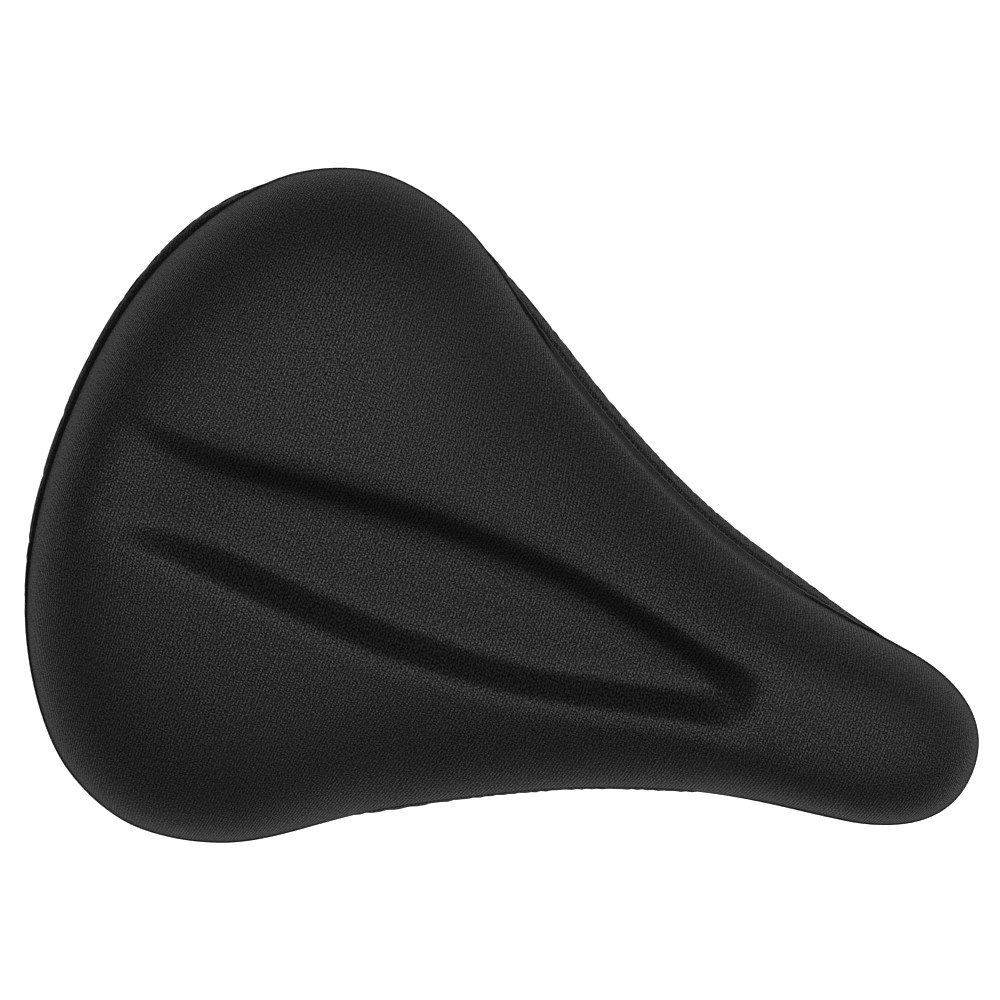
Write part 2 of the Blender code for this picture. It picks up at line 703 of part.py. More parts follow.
# ---- undercarriage ------------------------------------------------------------------------------
def rail_frame():
    """Both rails are one bent wire, joined by a cross bar at the nose."""
    left = [
        (-0.121, RAIL_Y, RAIL_REAR_Z),
        (-0.080, RAIL_Y, RAIL_REAR_Z),
        (-0.054, RAIL_Y, RAIL_Z),
        (0.050, RAIL_Y, RAIL_Z),
        (NOSE_X, NOSE_Y, NOSE_Z),
    ]
    right = [(x, -y, z) for x, y, z in reversed(left)]
    bends = [RAIL_BEND] * 3 + [NOSE_BEND] * 2 + [RAIL_BEND] * 3
    return wire("rail_frame", fillet_path(left + right, bends), RAIL_WIRE, STEEL, 4)


def coil_spring(name, y):
    """Compression spring with nearly closed end turns."""
    low, high = bridge_top() + GAP + SPRING_WIRE, PLATE_Z - GAP - SPRING_WIRE
    end_pitch = SPRING_END_PITCH * SPRING_WIRE
    active = SPRING_TURNS - 2 * SPRING_END_TURNS
    pitch = (high - low - 2 * SPRING_END_TURNS * end_pitch) / active
    per_turn = 12
    points, z = [], low
    for k in range(round(SPRING_TURNS * per_turn) + 1):
        turn = k / per_turn
        here = min(turn, SPRING_TURNS - turn)
        angle = 2 * math.pi * turn
        points.append(
            (SPRING_X + SPRING_RADIUS * math.cos(angle), y + SPRING_RADIUS * math.sin(angle), z)
        )
        z += (end_pitch if here < SPRING_END_TURNS else pitch) / per_turn
    overshoot = points[-1][2] - high
    points = [
        (px, py, pz - overshoot * k / (len(points) - 1)) for k, (px, py, pz) in enumerate(points)
    ]
    return wire(name, points, SPRING_WIRE, SPRING_STEEL)


def bridge_top():
    return RAIL_REAR_Z + RAIL_WIRE + GAP + BRIDGE[2]


def build_undercarriage():
    rail_frame()
    low = RAIL_REAR_Z + RAIL_WIRE + GAP
    bridge = stadium("spring_bridge", BRIDGE, low, STEEL, SPRING_X)
    half_x, half_y = KEEPER_HALF
    keeper = block(
        "rail_keeper", (SPRING_X - half_x, SPRING_X + half_x), (-half_y, half_y),
        (RAIL_REAR_Z + KEEPER_Z[0], RAIL_REAR_Z + KEEPER_Z[1]), STEEL, 0.001,
    )
    for side in (1, -1):
        y = side * RAIL_Y
        groove = block(
            f"keeper_groove_{side}", (SPRING_X - FAR, SPRING_X + FAR),
            (y - KEEPER_GROOVE, y + KEEPER_GROOVE), (RAIL_REAR_Z - KEEPER_GROOVE, RAIL_Z), None,
        )
        cut(keeper, groove)
    for side, word in ((1, "left"), (-1, "right")):
        y = side * SPRING_Y
        coil_spring(f"spring_{word}", y)
        spring_cup(f"lower_spring_cup_{word}", SPRING_X, y, bridge_top() + GAP, False)
        hole = cylinder(f"bridge_hole_{word}", M6 + HOLE_PLAY, (0.05, 0.065), None, SPRING_X, y, 14)
        cut(bridge, hole)
        bolt_end = bridge_top() + 0.0090
        hex_bolt(f"lower_spring_bolt_{word}", M6, low - GAP, M6_HEAD, bolt_end, ZINC, SPRING_X, y)
        nut_z = bridge_top() + CUP_HEIGHT - CUP_STEP + 2 * GAP + M6_NUT[1] / 2
        hex_nut(f"lower_spring_nut_{word}", M6_NUT, M6, ZINC, (SPRING_X, y, nut_z))

        y = side * KEEPER_BOLT_Y
        hole = cylinder(f"keeper_hole_{word}", M5 + HOLE_PLAY, (0.035, 0.065), None, SPRING_X, y, 14)
        cut(keeper, hole)
        cut(bridge, hole)
        head, bolt_end = RAIL_REAR_Z + KEEPER_Z[0] - GAP, bridge_top() + 0.0062
        hex_bolt(f"keeper_bolt_{word}", M5, head, M5_HEAD, bolt_end, ZINC, SPRING_X, y)
        nut_z = bridge_top() + GAP + M5_NUT[1] / 2
        hex_nut(f"keeper_nut_{word}", M5_NUT, M5, ZINC, (SPRING_X, y, nut_z))


# ---- seatpost clamp -----------------------------------------------------------------------------
def clamp_plate(name, y_range, side):
    """A rounded plate pressed against the rail, with a groove above the bolt and a spare one below."""
    points = []
    half_length, half_height = PLATE_LENGTH / 2 - PLATE_CORNER, PLATE_HEIGHT / 2 - PLATE_CORNER
    for sx, sz, start in ((1, 1, 0), (-1, 1, 1), (-1, -1, 2), (1, -1, 3)):
        for k in range(4):
            turn = math.pi / 2 * (start + k / 3)
            x, z = PLATE_CORNER * math.cos(turn), PLATE_CORNER * math.sin(turn)
            points.append((sx * half_length + x, sz * half_height + z))
    middle = (0, side * sum(y_range) / 2, BOLT_Z)
    plate = outline_plate(name, points, y_range[1] - y_range[0], STEEL, middle, ACROSS)
    offset = RAIL_Z - BOLT_Z
    for word, z in (("rail", BOLT_Z + offset), ("spare", BOLT_Z - offset)):
        groove = cylinder(f"{name}_{word}", RAIL_WIRE + HOLE_PLAY, (-FAR, FAR), None)
        groove.rotation_euler = (0, math.pi / 2, 0)
        groove.location = (0, side * RAIL_Y, z)
        cut(plate, groove)
    bore = cylinder_y(name + "_bore", M8 + HOLE_PLAY, (-FAR, FAR), None, 0, BOLT_Z, 18)
    return cut(plate, bore)


def seatpost_strap():
    """The socket round the post, split at the back, with two round cheeks on the clamp bolt."""
    outer = POST_RADIUS + STRAP_WALL
    strap = cylinder("seatpost_strap", outer, (0, SOCKET_HEIGHT), STEEL, sides=40)
    for side in (1, -1):
        y_range = sorted((side * CHEEK_Y[0], side * CHEEK_Y[1]))
        disc = cylinder_y(f"cheek_disc_{side}", CHEEK_RADIUS, y_range, None, 0, BOLT_Z, 32)
        x_range, z_range = (-NECK_HALF_WIDTH, NECK_HALF_WIDTH), (SOCKET_HEIGHT - NECK_FOOT, BOLT_Z)
        neck = block(f"cheek_neck_{side}", x_range, y_range, z_range, None)
        join(strap, neck, disc)
    socket = cylinder("socket_bore", POST_RADIUS, (-0.01, SOCKET_HEIGHT + 0.003), None, sides=40)
    slot = block("socket_slot", (-FAR, 0), (-STRAP_SLOT, STRAP_SLOT), (-0.01, 0.04), None)
    bore = cylinder_y("strap_bore", M8 + HOLE_PLAY, (-FAR, FAR), None, 0, BOLT_Z, 18)
    return cut(strap, socket, slot, bore)


def build_cradle():
    for side, word in ((1, "left"), (-1, "right")):
        clamp_plate(f"inner_clamp_plate_{word}", INNER_PLATE_Y, side)
        clamp_plate(f"outer_clamp_plate_{word}", OUTER_PLATE_Y, side)
        face = OUTER_PLATE_Y[1] + GAP
        out = (-side * math.pi / 2, 0, 0)
        washer(
            f"clamp_washer_{word}", WASHER_RADIUS, M8 + GAP, WASHER_THICKNESS, ZINC,
            (0, side * face, BOLT_Z), out,
        )
    outside = OUTER_PLATE_Y[1] + WASHER_THICKNESS + 2 * GAP
    shank = (-outside - CLAMP_HEAD_HEIGHT / 2, outside + CLAMP_TAIL)
    bolt = cylinder_y("clamp_bolt", M8, shank, ZINC, 0, BOLT_Z, 18)
    head_y = (-outside - CLAMP_HEAD_HEIGHT, -outside)
    join(bolt, cylinder_y("clamp_bolt_head", M8_NUT[0], head_y, None, 0, BOLT_Z, 6))
    hex_nut("clamp_nut", M8_NUT, M8, ZINC, (0, outside + M8_NUT[1] / 2, BOLT_Z), ACROSS)


def carry(carrier, build):
    """Whatever build makes is parented to the carrier."""
    before = set(PARTS.objects)
    build()
    for part in sorted(set(PARTS.objects) - before, key=lambda made: made.name):
        part.parent = carrier
        part.matrix_parent_inverse = Matrix.Translation(carrier["at"]).inverted()


def axis(name, location, parent=None):
    """An empty on a joint's axis."""
    empty = bpy.data.objects.new(name, None)
    bpy.context.scene.collection.objects.link(empty)
    empty["at"] = location
    empty.location = location
    if parent:
        empty.parent = parent
        empty.matrix_parent_inverse = Matrix.Translation(parent["at"]).inverted()
    return empty


def main():
    tilt = axis("tilt_axis", (0, 0, BOLT_Z))
    slide = axis("rail_slide", (0, 0, RAIL_Z), tilt)
    nose = axis("nose_hinge", (NOSE_X, 0, NOSE_Z), slide)
    seatpost_strap()
    carry(tilt, build_cradle)
    carry(slide, build_undercarriage)
    carry(nose, build_seat)


main()
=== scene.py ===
"""Looks of a sprung comfort bicycle saddle: knit cover, seams, moulded base, rails, springs and clamp."""

import math

import bmesh
import bpy
from mathutils import Matrix, Vector, noise
from mathutils.geometry import interpolate_bezier


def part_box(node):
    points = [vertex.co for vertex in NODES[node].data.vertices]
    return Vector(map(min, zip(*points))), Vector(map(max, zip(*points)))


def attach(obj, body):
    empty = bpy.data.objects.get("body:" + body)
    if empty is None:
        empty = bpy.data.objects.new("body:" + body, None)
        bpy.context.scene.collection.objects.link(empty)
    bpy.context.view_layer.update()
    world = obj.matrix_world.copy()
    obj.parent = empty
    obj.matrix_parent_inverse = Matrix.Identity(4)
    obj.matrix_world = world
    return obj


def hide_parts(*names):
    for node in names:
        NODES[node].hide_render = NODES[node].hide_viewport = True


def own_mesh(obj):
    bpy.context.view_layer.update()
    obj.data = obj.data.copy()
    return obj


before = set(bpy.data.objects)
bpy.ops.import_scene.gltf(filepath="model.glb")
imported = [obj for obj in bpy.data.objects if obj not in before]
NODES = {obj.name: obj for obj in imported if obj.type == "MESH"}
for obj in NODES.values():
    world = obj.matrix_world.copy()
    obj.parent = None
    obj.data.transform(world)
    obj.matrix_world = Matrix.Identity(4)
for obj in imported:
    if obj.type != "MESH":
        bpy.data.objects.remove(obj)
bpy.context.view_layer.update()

# ---- seat form, in metres: +X to the nose, +Y to the rider's left ---------------------------------
OUTLINE = (
    ((-0.145, 0.0), (-0.145, 0.0776), (-0.1025, 0.100), (-0.0825, 0.100)),
    ((-0.0825, 0.100), (-0.0545, 0.100), (-0.0345, 0.080), (-0.0005, 0.0615)),
    ((-0.0005, 0.0615), (0.035, 0.0422), (0.052, 0.0368), (0.107, 0.0259)),
    ((0.107, 0.0259), (0.1205, 0.0233), (0.135, 0.0169), (0.135, 0.0)),
)
OUTLINE_STEPS = (60, 50, 66, 34)
SPINE = (-0.108, 0.098)
EDGE_Z = (  # (x, height) of the widest level: highest at the waist
    (-0.145, 0.118), (-0.078, 0.1168), (-0.040, 0.1195), (-0.008, 0.1225), (0.052, 0.1196),
    (0.086, 0.1122), (0.108, 0.1098), (0.135, 0.109),
)
CROWN_Z = ((-0.145, 0.157), (-0.090, 0.157), (-0.020, 0.150), (0.045, 0.142), (0.135, 0.133))
TROUGH_HALF_WIDTH = (
    (-0.145, 0.021), (-0.118, 0.0145), (-0.097, 0.0135), (-0.060, 0.0165), (-0.035, 0.0178),
    (0.000, 0.0163), (0.018, 0.0135), (0.037, 0.0096), (0.052, 0.0066), (0.066, 0.0048),
    (0.095, 0.0),
)
TROUGH_DEPTH = 0.0118
TROUGH_WALL, TROUGH_SHOULDER = 0.0044, 0.0095  # how far the two eases that make its side reach each way
TROUGH_STEEP = 0.55  # the steeper one's share of the depth
TROUGH_FADE = (-0.141, -0.080)  # x over which the channel deepens from the rear edge
TROUGH_FRONT, TROUGH_FRONT_SLOPE = 0.0600, 0.6  # its front end, and how gently that slopes up
TROUGH_BLEND = 0.006  # the rounding between its side and its front end
ROUNDED, RIDGED = (3.0, 0.5), (2.6, 0.8)  # exponents of the fall from the crown, without and with a ridge
REAR_INSET = 0.0016  # across the rear the top panel's widest point is this far inside the outline
SEAM_TUCK, SEAM_DROP = 0.0016, 0.0068  # the seam, inwards of the widest point, and below it
# At the waist the pad ends in a ridge, and the panel falls from it, flaring out, to the seam.
RIDGE_INSET, RIDGE_RISE = 0.0042, 0.0034  # inside the outline, and above the widest level
FLARE_INSET, FLARE_DROP = 0.0025, 0.0055  # the seam there, inside the outline and below the widest level
RIDGE_TILT = math.radians(74)
WAIST_BEGINS, WAIST_ENDS = (-0.060, -0.014), (0.052, 0.112)  # x over which the ridge comes and goes
REAR_TURN = (0.55, 0.90)  # how far the outline faces backwards where the rear edge begins and is full
SEAM_STITCH, SEAM_PUCKER = 0.0032, 0.00010  # length of a stitch, and how far it pulls the seam in
SEAM_WANDER, SEAM_WANDER_RATE = 0.00045, 55
SEAM_ALLOWANCE = ((0.0003, 0.0004), (0.0010, 0.0006), (0.0022, 0.0005))  # (inwards, down) past the seam
EDGE_ROWS = 8  # rows of the mesh from the widest point to the seam


def ease(low, high, value):
    """A smooth step: 0 up to low, 1 from high on."""
    t = min(max((value - low) / (high - low), 0.0), 1.0)
    return t * t * (3 - 2 * t)


def along(table, x):
    """The value at x of a smooth curve through a table of (x, value)."""
    if x <= table[0][0]:
        return table[0][1]
    for k in range(len(table) - 1):
        (x0, v0), (x1, v1) = table[k], table[k + 1]
        if x <= x1:
            before, after = table[max(k - 1, 0)], table[min(k + 2, len(table) - 1)]
            m0 = (v1 - before[1]) / (x1 - before[0])
            m1 = (after[1] - v0) / (after[0] - x0)
            t, h = (x - x0) / (x1 - x0), x1 - x0
            return (
                v0 * (1 + 2 * t) * (1 - t) ** 2 + v1 * t * t * (3 - 2 * t)
                + h * m0 * t * (1 - t) ** 2 - h * m1 * t * t * (1 - t)
            )
    return table[-1][1]


def outline_stations():
    """(point, outward normal, distance from the rear centre) along the left half of the outline."""
    samples = []
    for arc, steps in zip(OUTLINE, OUTLINE_STEPS):
        found = interpolate_bezier(*[Vector((*pair, 0)) for pair in arc], steps + 1)
        samples += found if not samples else found[1:]
    stations, run = [], 0.0
    for k, point in enumerate(samples):
        tangent = samples[min(k + 1, len(samples) - 1)] - samples[max(k - 1, 0)]
        normal = Vector((-tangent.y, tangent.x, 0)).normalized()
        if k == 0:
            normal = Vector((-1, 0, 0))
        if k == len(samples) - 1:
            normal = Vector((1, 0, 0))
        run += (point - samples[max(k - 1, 0)]).length
        stations.append((point, normal, run))
    return stations


STATIONS = outline_stations()


def flare(station):
    """1 along the waist, where the pad turns down early and the panel flares out to the seam."""
    x = station[0].x
    return ease(*WAIST_BEGINS, x) * (1 - ease(*WAIST_ENDS, x))


def rear(station):
    """1 where the outline faces backwards."""
    return ease(*REAR_TURN, -station[1].x)


def panel_inset(station):
    """How far inside the outline the top panel turns down."""
    base = REAR_INSET * rear(station)
    return base + (RIDGE_INSET - base) * flare(station)


def trough_depth(x, y):
    """How far the channel is sunk at a place in plan: a steep wall with long soft shoulders."""
    beside = abs(y) - along(TROUGH_HALF_WIDTH, x)
    ahead = (x - TROUGH_FRONT) * TROUGH_FRONT_SLOPE
    blend = max(TROUGH_BLEND - abs(beside - ahead), 0.0)
    outside = max(beside, ahead) + blend * blend / (4 * TROUGH_BLEND)
    steep = ease(-TROUGH_WALL, TROUGH_WALL, outside)
    gentle = ease(-TROUGH_SHOULDER, TROUGH_SHOULDER, outside)
    left = 1 - TROUGH_STEEP * steep - (1 - TROUGH_STEEP) * gentle
    return TROUGH_DEPTH * left * ease(*TROUGH_FADE, x)


def spine_of(station):
    """The point on the crown line that a station's column of the mesh starts from."""
    run = (station[0].x - OUTLINE[0][0][0]) / (OUTLINE[-1][-1][0] - OUTLINE[0][0][0])
    return Vector((SPINE[0] + run * (SPINE[1] - SPINE[0]), 0, 0))


def fall_from_crown(share, powers):
    """The height left at a share of the way out: 1 at the crown line, 0 at the widest point."""
    return max(1 - share ** powers[0], 0.0) ** powers[1]


def top_point(station, share):
    """The cover's outer face: share runs from 0 at the crown line to 1 at the widest point."""
    edge = station[0] - station[1] * panel_inset(station)
    plan = spine_of(station).lerp(edge, share)
    ridge = flare(station)
    low, high = along(EDGE_Z, plan.x) + RIDGE_RISE * ridge, along(CROWN_Z, plan.x)
    rounded, ridged = fall_from_crown(share, ROUNDED), fall_from_crown(share, RIDGED)
    fall = rounded + (ridged - rounded) * ridge
    return Vector((plan.x, plan.y, low + (high - low) * fall - trough_depth(plan.x, plan.y)))


def rim_point(station, inset, drop):
    """A point inside the outline by inset, and below the widest level by drop."""
    plan = station[0] - station[1] * inset
    return Vector((plan.x, plan.y, along(EDGE_Z, station[0].x) - drop))


FLOOR_STEPS, WALL_STEPS, PAD_STEPS = 6, 22, 30  # rows across the channel's floor, its wall and the pad
FOOT_LEAST, BROW_LEAST = 0.08, 0.26  # where the wall's foot and brow lie at least, as shares of a column
CROSSING_SPAN = 0.28  # how far past that they may lie
NARROW = 0.03  # half widths below this bring them back to the least share
BISECTIONS = 24
PAD_CROWDING = 0.9


def crossing(station, offset, least):
    """The share at which a column of the mesh passes the channel's edge, moved out by offset."""
    start = spine_of(station).x
    edge = station[0] - station[1] * panel_inset(station)
    low, high = 0.0, 1.0
    for _ in range(BISECTIONS):
        middle = (low + high) / 2
        x, y = start + (edge.x - start) * middle, edge.y * middle
        if y < along(TROUGH_HALF_WIDTH, x) + offset:
            low = middle
        else:
            high = middle
    return least + (min(max(low, least), least + CROSSING_SPAN) - least) * ease(0.0, NARROW, edge.y)


def column_shares(station):
    """The shares of a column's rows: even across the floor and the wall, closer towards the edge."""
    foot = crossing(station, -TROUGH_SHOULDER, FOOT_LEAST)
    brow = crossing(station, TROUGH_SHOULDER, BROW_LEAST)
    shares = [foot * k / FLOOR_STEPS for k in range(FLOOR_STEPS)]
    shares += [foot + (brow - foot) * k / WALL_STEPS for k in range(WALL_STEPS)]
    for k in range(PAD_STEPS + 1):
        shares.append(brow + (1 - brow) * math.sin(math.pi / 2 * k / PAD_STEPS) ** PAD_CROWDING)
    return shares


def seam_wave(station):
    """The sewn seam wanders a little, and dips at each stitch."""
    run = station[2]
    slow = noise.noise(Vector((run * SEAM_WANDER_RATE, 3.1, 0)))
    stitch = math.cos(2 * math.pi * run / SEAM_STITCH)
    return SEAM_WANDER * slow, SEAM_PUCKER * stitch


def flared_place(turn):
    """(inset, drop) down the flared part of the waist, an S-shaped curve from the ridge to the seam."""
    start, end = Vector((RIDGE_INSET, -RIDGE_RISE)), Vector((FLARE_INSET, FLARE_DROP))
    handle = Vector((-math.cos(RIDGE_TILT), math.sin(RIDGE_TILT))) * ((end - start).length / 3)
    left = 1 - turn
    return (
        start * left**3 + (start + handle) * (3 * left**2 * turn)
        + (end - handle) * (3 * left * turn**2) + end * turn**3
    )


def panel_edge(station, turn):
    """Below its widest point the top panel curls in, or flares out, to the seam: turn runs from 0 to 1."""
    wander, pucker = seam_wave(station)
    angle = turn * math.pi / 2
    curled = Vector((REAR_INSET * rear(station) + SEAM_TUCK * (1 - math.cos(angle)),
                     SEAM_DROP * math.sin(angle)))
    inset, drop = curled.lerp(flared_place(turn), flare(station))
    return rim_point(station, inset + pucker * turn**2, drop + wander * turn)


def top_columns():
    """The top panel: from the crown line, over the pad, to the seam and the allowance inside it."""
    columns = []
    for station in STATIONS:
        column = [top_point(station, share) for share in column_shares(station)]
        column += [panel_edge(station, (k + 1) / EDGE_ROWS) for k in range(EDGE_ROWS)]
        edge, normal = column[-1], station[1]
        for inset, drop in SEAM_ALLOWANCE:
            column.append(edge - normal * inset - Vector((0, 0, drop)))
        columns.append(column)
    return columns


# The side panel from inside the seam to the hem: (inset, drop) from the outline at its widest level,
# where the panel above it flares out, and where it curls in.
FLARED_SKIRT = (
    (0.0040, 0.0069), (0.0027, 0.0067), (0.0019, 0.0068), (0.0013, 0.0073), (0.0009, 0.0082),
    (0.0005, 0.0094), (0.0002, 0.0110), (0.0000, 0.0128), (0.0002, 0.0146), (0.0008, 0.0162),
    (0.0017, 0.0178), (0.0027, 0.0192), (0.0038, 0.0203), (0.0050, 0.0210), (0.0066, 0.0213),
    (0.0084, 0.0214), (0.0100, 0.0214),
)
TUCKED_SKIRT = (
    (0.0046, 0.0084), (0.0034, 0.0079), (0.0028, 0.0080), (0.0024, 0.0085), (0.0021, 0.0092),
    (0.0019, 0.0101), (0.0019, 0.0113), (0.0019, 0.0130), (0.0021, 0.0146), (0.0026, 0.0162),
    (0.0033, 0.0178), (0.0040, 0.0192), (0.0048, 0.0203), (0.0058, 0.0210), (0.0072, 0.0213),
    (0.0088, 0.0214), (0.0102, 0.0214),
)
REAR_SKIRT_OUT = 0.0017  # how much further out the skirt bulges across the rear
SKIRT_SEAM_ROWS = 7  # rows over which the seam's wander dies away
CHANNEL_ROWS = 24  # rows in the channel, where the cloth is not cut longer than its plan


def skirt_columns():
    """The side panel: from inside the seam, out over the rim of the base, to the hem under it."""
    columns = []
    last = len(FLARED_SKIRT) - 1
    for station in STATIONS:
        wander, pucker = seam_wave(station)
        column = []
        for k, (flared, tucked) in enumerate(zip(FLARED_SKIRT, TUCKED_SKIRT)):
            near = max(1 - k / SKIRT_SEAM_ROWS, 0.0)
            bulge = REAR_SKIRT_OUT * rear(station) * math.sin(math.pi * min((k + 2) / last, 1.0)) ** 0.5
            inset, drop = Vector(tucked).lerp(Vector(flared), flare(station))
            inset += pucker * near - bulge * (1 - flare(station))
            column.append(rim_point(station, inset, drop + wander * near))
        columns.append(column)
    return columns


def cloth_places(column, normal):
    """Where each point lies on the flat cloth: its plan place, plus the cloth that falls away outwards."""
    spare, places = 0.0, []
    for k, point in enumerate(column):
        if k:
            step = point - column[k - 1]
            flat = Vector((step.x, step.y, 0)).dot(normal)
            spare += max(step.length - abs(flat), 0.0) if k > CHANNEL_ROWS else 0.0
        places.append((point.x + normal.x * spare, point.y + normal.y * spare))
    return places


CLOTH_PLACE = "cloth"  # the attribute that holds each point's place on the flat cloth
SAME_PLACE = 2e-6


def sheet_mesh(name, columns, places):
    """A symmetric sheet from the columns of its left half, with its place on the cloth in an attribute."""
    bm = bmesh.new()
    layer = bm.verts.layers.float_vector.new(CLOTH_PLACE)
    for side in (1, -1):
        grid = []
        for column, spots in zip(columns, places):
            verts = []
            for point, (u, v) in zip(column, spots):
                vert = bm.verts.new((point.x, side * max(point.y, 0.0), point.z))
                vert[layer] = (u, side * v, 0)
                verts.append(vert)
            grid.append(verts)
        for left, right in zip(grid, grid[1:]):
            for a, b, c, d in zip(left, right, right[1:], left[1:]):
                bm.faces.new((a, b, c, d) if side > 0 else (d, c, b, a))
    bmesh.ops.remove_doubles(bm, verts=bm.verts, dist=SAME_PLACE)
    bmesh.ops.dissolve_degenerate(bm, edges=bm.edges, dist=SAME_PLACE / 2)
    mesh = bpy.data.meshes.new(name)
    bm.to_mesh(mesh)
    bm.free()
    mesh.shade_smooth()
    made = bpy.data.objects.new(name, mesh)
    bpy.context.scene.collection.objects.link(made)
    return made


def thicken(made, thickness):
    """Gives a sheet its thickness, inwards."""
    shell = made.modifiers.new("thickness", "SOLIDIFY")
    shell.thickness = thickness
    shell.offset = -1
    return made


# ---- cloth -----------------------------------------------------------------------------------------
TOP_THICKNESS, SKIRT_THICKNESS = 0.0010, 0.0009
SIM_FRAMES = 14
SIM_SLACK = 0.008  # how much longer the cloth is cut than the form under it
SIM_PRESSURE = 2.0
SIM_REACH = 0.0003  # the furthest the cloth may move from its drawn place
HELD_ABOVE, HELD_BELOW = 4, 4  # rows held by the seam and by the staples


def rounded_place(point):
    """A point's place to a hundredth of a millimetre, the same on both sides."""
    return round(point.x, 5), round(abs(point.y), 5), round(point.z, 5)


def settle_cloth(made, columns):
    """A short cloth simulation: held at its seam and its hem, the panel's slack finds its place."""
    held_places = {}
    for column in columns:
        for row, point in enumerate(column):
            held_places[rounded_place(point)] = row < HELD_ABOVE or row >= len(column) - HELD_BELOW
    held = [v.index for v in made.data.vertices if held_places.get(rounded_place(v.co), False)]
    made.vertex_groups.new(name="held").add(held, 1.0, "REPLACE")
    cloth = made.modifiers.new("cloth", "CLOTH")
    settings = cloth.settings
    settings.quality = 8
    settings.mass = 0.12
    settings.tension_stiffness = 8
    settings.compression_stiffness = 6
    settings.shear_stiffness = 3
    settings.bending_stiffness = 0.02
    settings.vertex_group_mass = "held"
    settings.shrink_min = -SIM_SLACK
    settings.use_pressure = True
    settings.uniform_pressure_force = SIM_PRESSURE
    settings.effector_weights.gravity = 0
    cloth.collision_settings.use_collision = False
    cloth.point_cache.frame_end = SIM_FRAMES
    for step in range(1, SIM_FRAMES + 1):
        bpy.context.scene.frame_set(step)
    shaped = made.evaluated_get(bpy.context.evaluated_depsgraph_get())
    settled = [vert.co.copy() for vert in shaped.data.vertices]
    made.modifiers.remove(cloth)
    bpy.context.scene.frame_set(1)
    for vert, place in zip(made.data.vertices, settled):
        move = place - vert.co
        if move.length > SIM_REACH:
            move *= SIM_REACH / move.length
        vert.co += move


# ---- materials -----------------------------------------------------------------------------------
class Shader:
    """A material's node tree, with short calls to add nodes."""

    def __init__(self, name):
        self.material = bpy.data.materials.new(name)
        self.material.use_nodes = True
        self.tree = self.material.node_tree
        self.shader = self.tree.nodes["Principled BSDF"]

    def node(self, kind, **settings):
        made = self.tree.nodes.new("ShaderNode" + kind)
        for key, value in settings.items():
            setattr(made, key, value)
        return made

    def link(self, source, target):
        self.tree.links.new(source, target)

    def put(self, socket, value):
        if isinstance(value, bpy.types.NodeSocket):
            self.link(value, socket)
        elif value is not None:
            socket.default_value = value

    def math(self, operation, a, b=None, c=None, clamp=False):
        """The output of a Math node. Its inputs are numbers or other outputs."""
        made = self.node("Math", operation=operation, use_clamp=clamp)
        for socket, value in zip(made.inputs, (a, b, c)):
            self.put(socket, value)
        return made.outputs[0]

    def scaled(self, value, gain, offset, clamp=False):
        """value * gain + offset"""
        return self.math("MULTIPLY_ADD", value, gain, offset, clamp)

    def noise(self, vector, scale, detail=2.0, roughness=0.5):
        made = self.node("TexNoise")
        self.link(vector, made.inputs["Vector"])
        made.inputs["Scale"].default_value = scale
        made.inputs["Detail"].default_value = detail
        made.inputs["Roughness"].default_value = roughness
        return made.outputs["Fac"]

    def ramp(self, value, *stops):
        """A blend between two colours, given as (position, colour)."""
        made = self.node("ValToRGB")
        self.link(value, made.inputs["Fac"])
        for element, (position, colour) in zip(made.color_ramp.elements, stops):
            element.position = position
            element.color = (*colour, 1)
        return made.outputs["Color"]

    def object_place(self):
        return self.node("TexCoord").outputs["Object"]

    def bump(self, height, strength, distance):
        made = self.node("Bump")
        self.link(height, made.inputs["Height"])
        made.inputs["Strength"].default_value = strength
        made.inputs["Distance"].default_value = distance
        return made.outputs["Normal"]

    def finish(self, **inputs):
        for name, value in inputs.items():
            self.put(self.shader.inputs[name.replace("_", " ")], value)
        return self.material


def grey(level):
    return (level, level, level)


# The knit's lengths are in metres, and its noise rates are per metre.
RIB_PITCH, SKIRT_RIB_PITCH = 0.00094, 0.00080
RIB_ROUNDNESS = 0.8  # exponent of a rib's section: rounder below 1
RIB_WOBBLE, RIB_WOBBLE_RATE = 0.00028, 260
STITCH_PITCH = 0.00078
STITCH_LEAN, STITCH_SHIFT = 0.55, 0.5  # the slant across a rib, and from rib to rib, in stitches
STITCH_RELIEF = 0.45
FUZZ_RATE, FUZZ_ROUGHNESS, FUZZ_RELIEF = 2150, 0.6, 0.7
SPECK_GAIN, SPECK_OFFSET = 4.6, -1.85  # picks the glinting filaments out of the fuzz: a higher specular level there, and a lighter colour, partly lighter thread and partly painted highlight
LOOP_TONE, SPECK_TONE = (0.62, 0.30), (1.1, 0.12)  # gain and offset of each one's part in the tone, which sets the specular level and the colour: painted highlight on rib crests and filaments, painted shade in the gaps between ribs
KNIT_RELIEF = 0.00011
KNIT_ROUGHNESS = 0.37
KNIT_SHEEN, KNIT_GLINT = 0.008, 0.250  # specular level between the filaments, and added on them
GLINT_FACING = (-1.5, 1.22)  # gain and offset: the glint dies away where the cloth is seen edge on


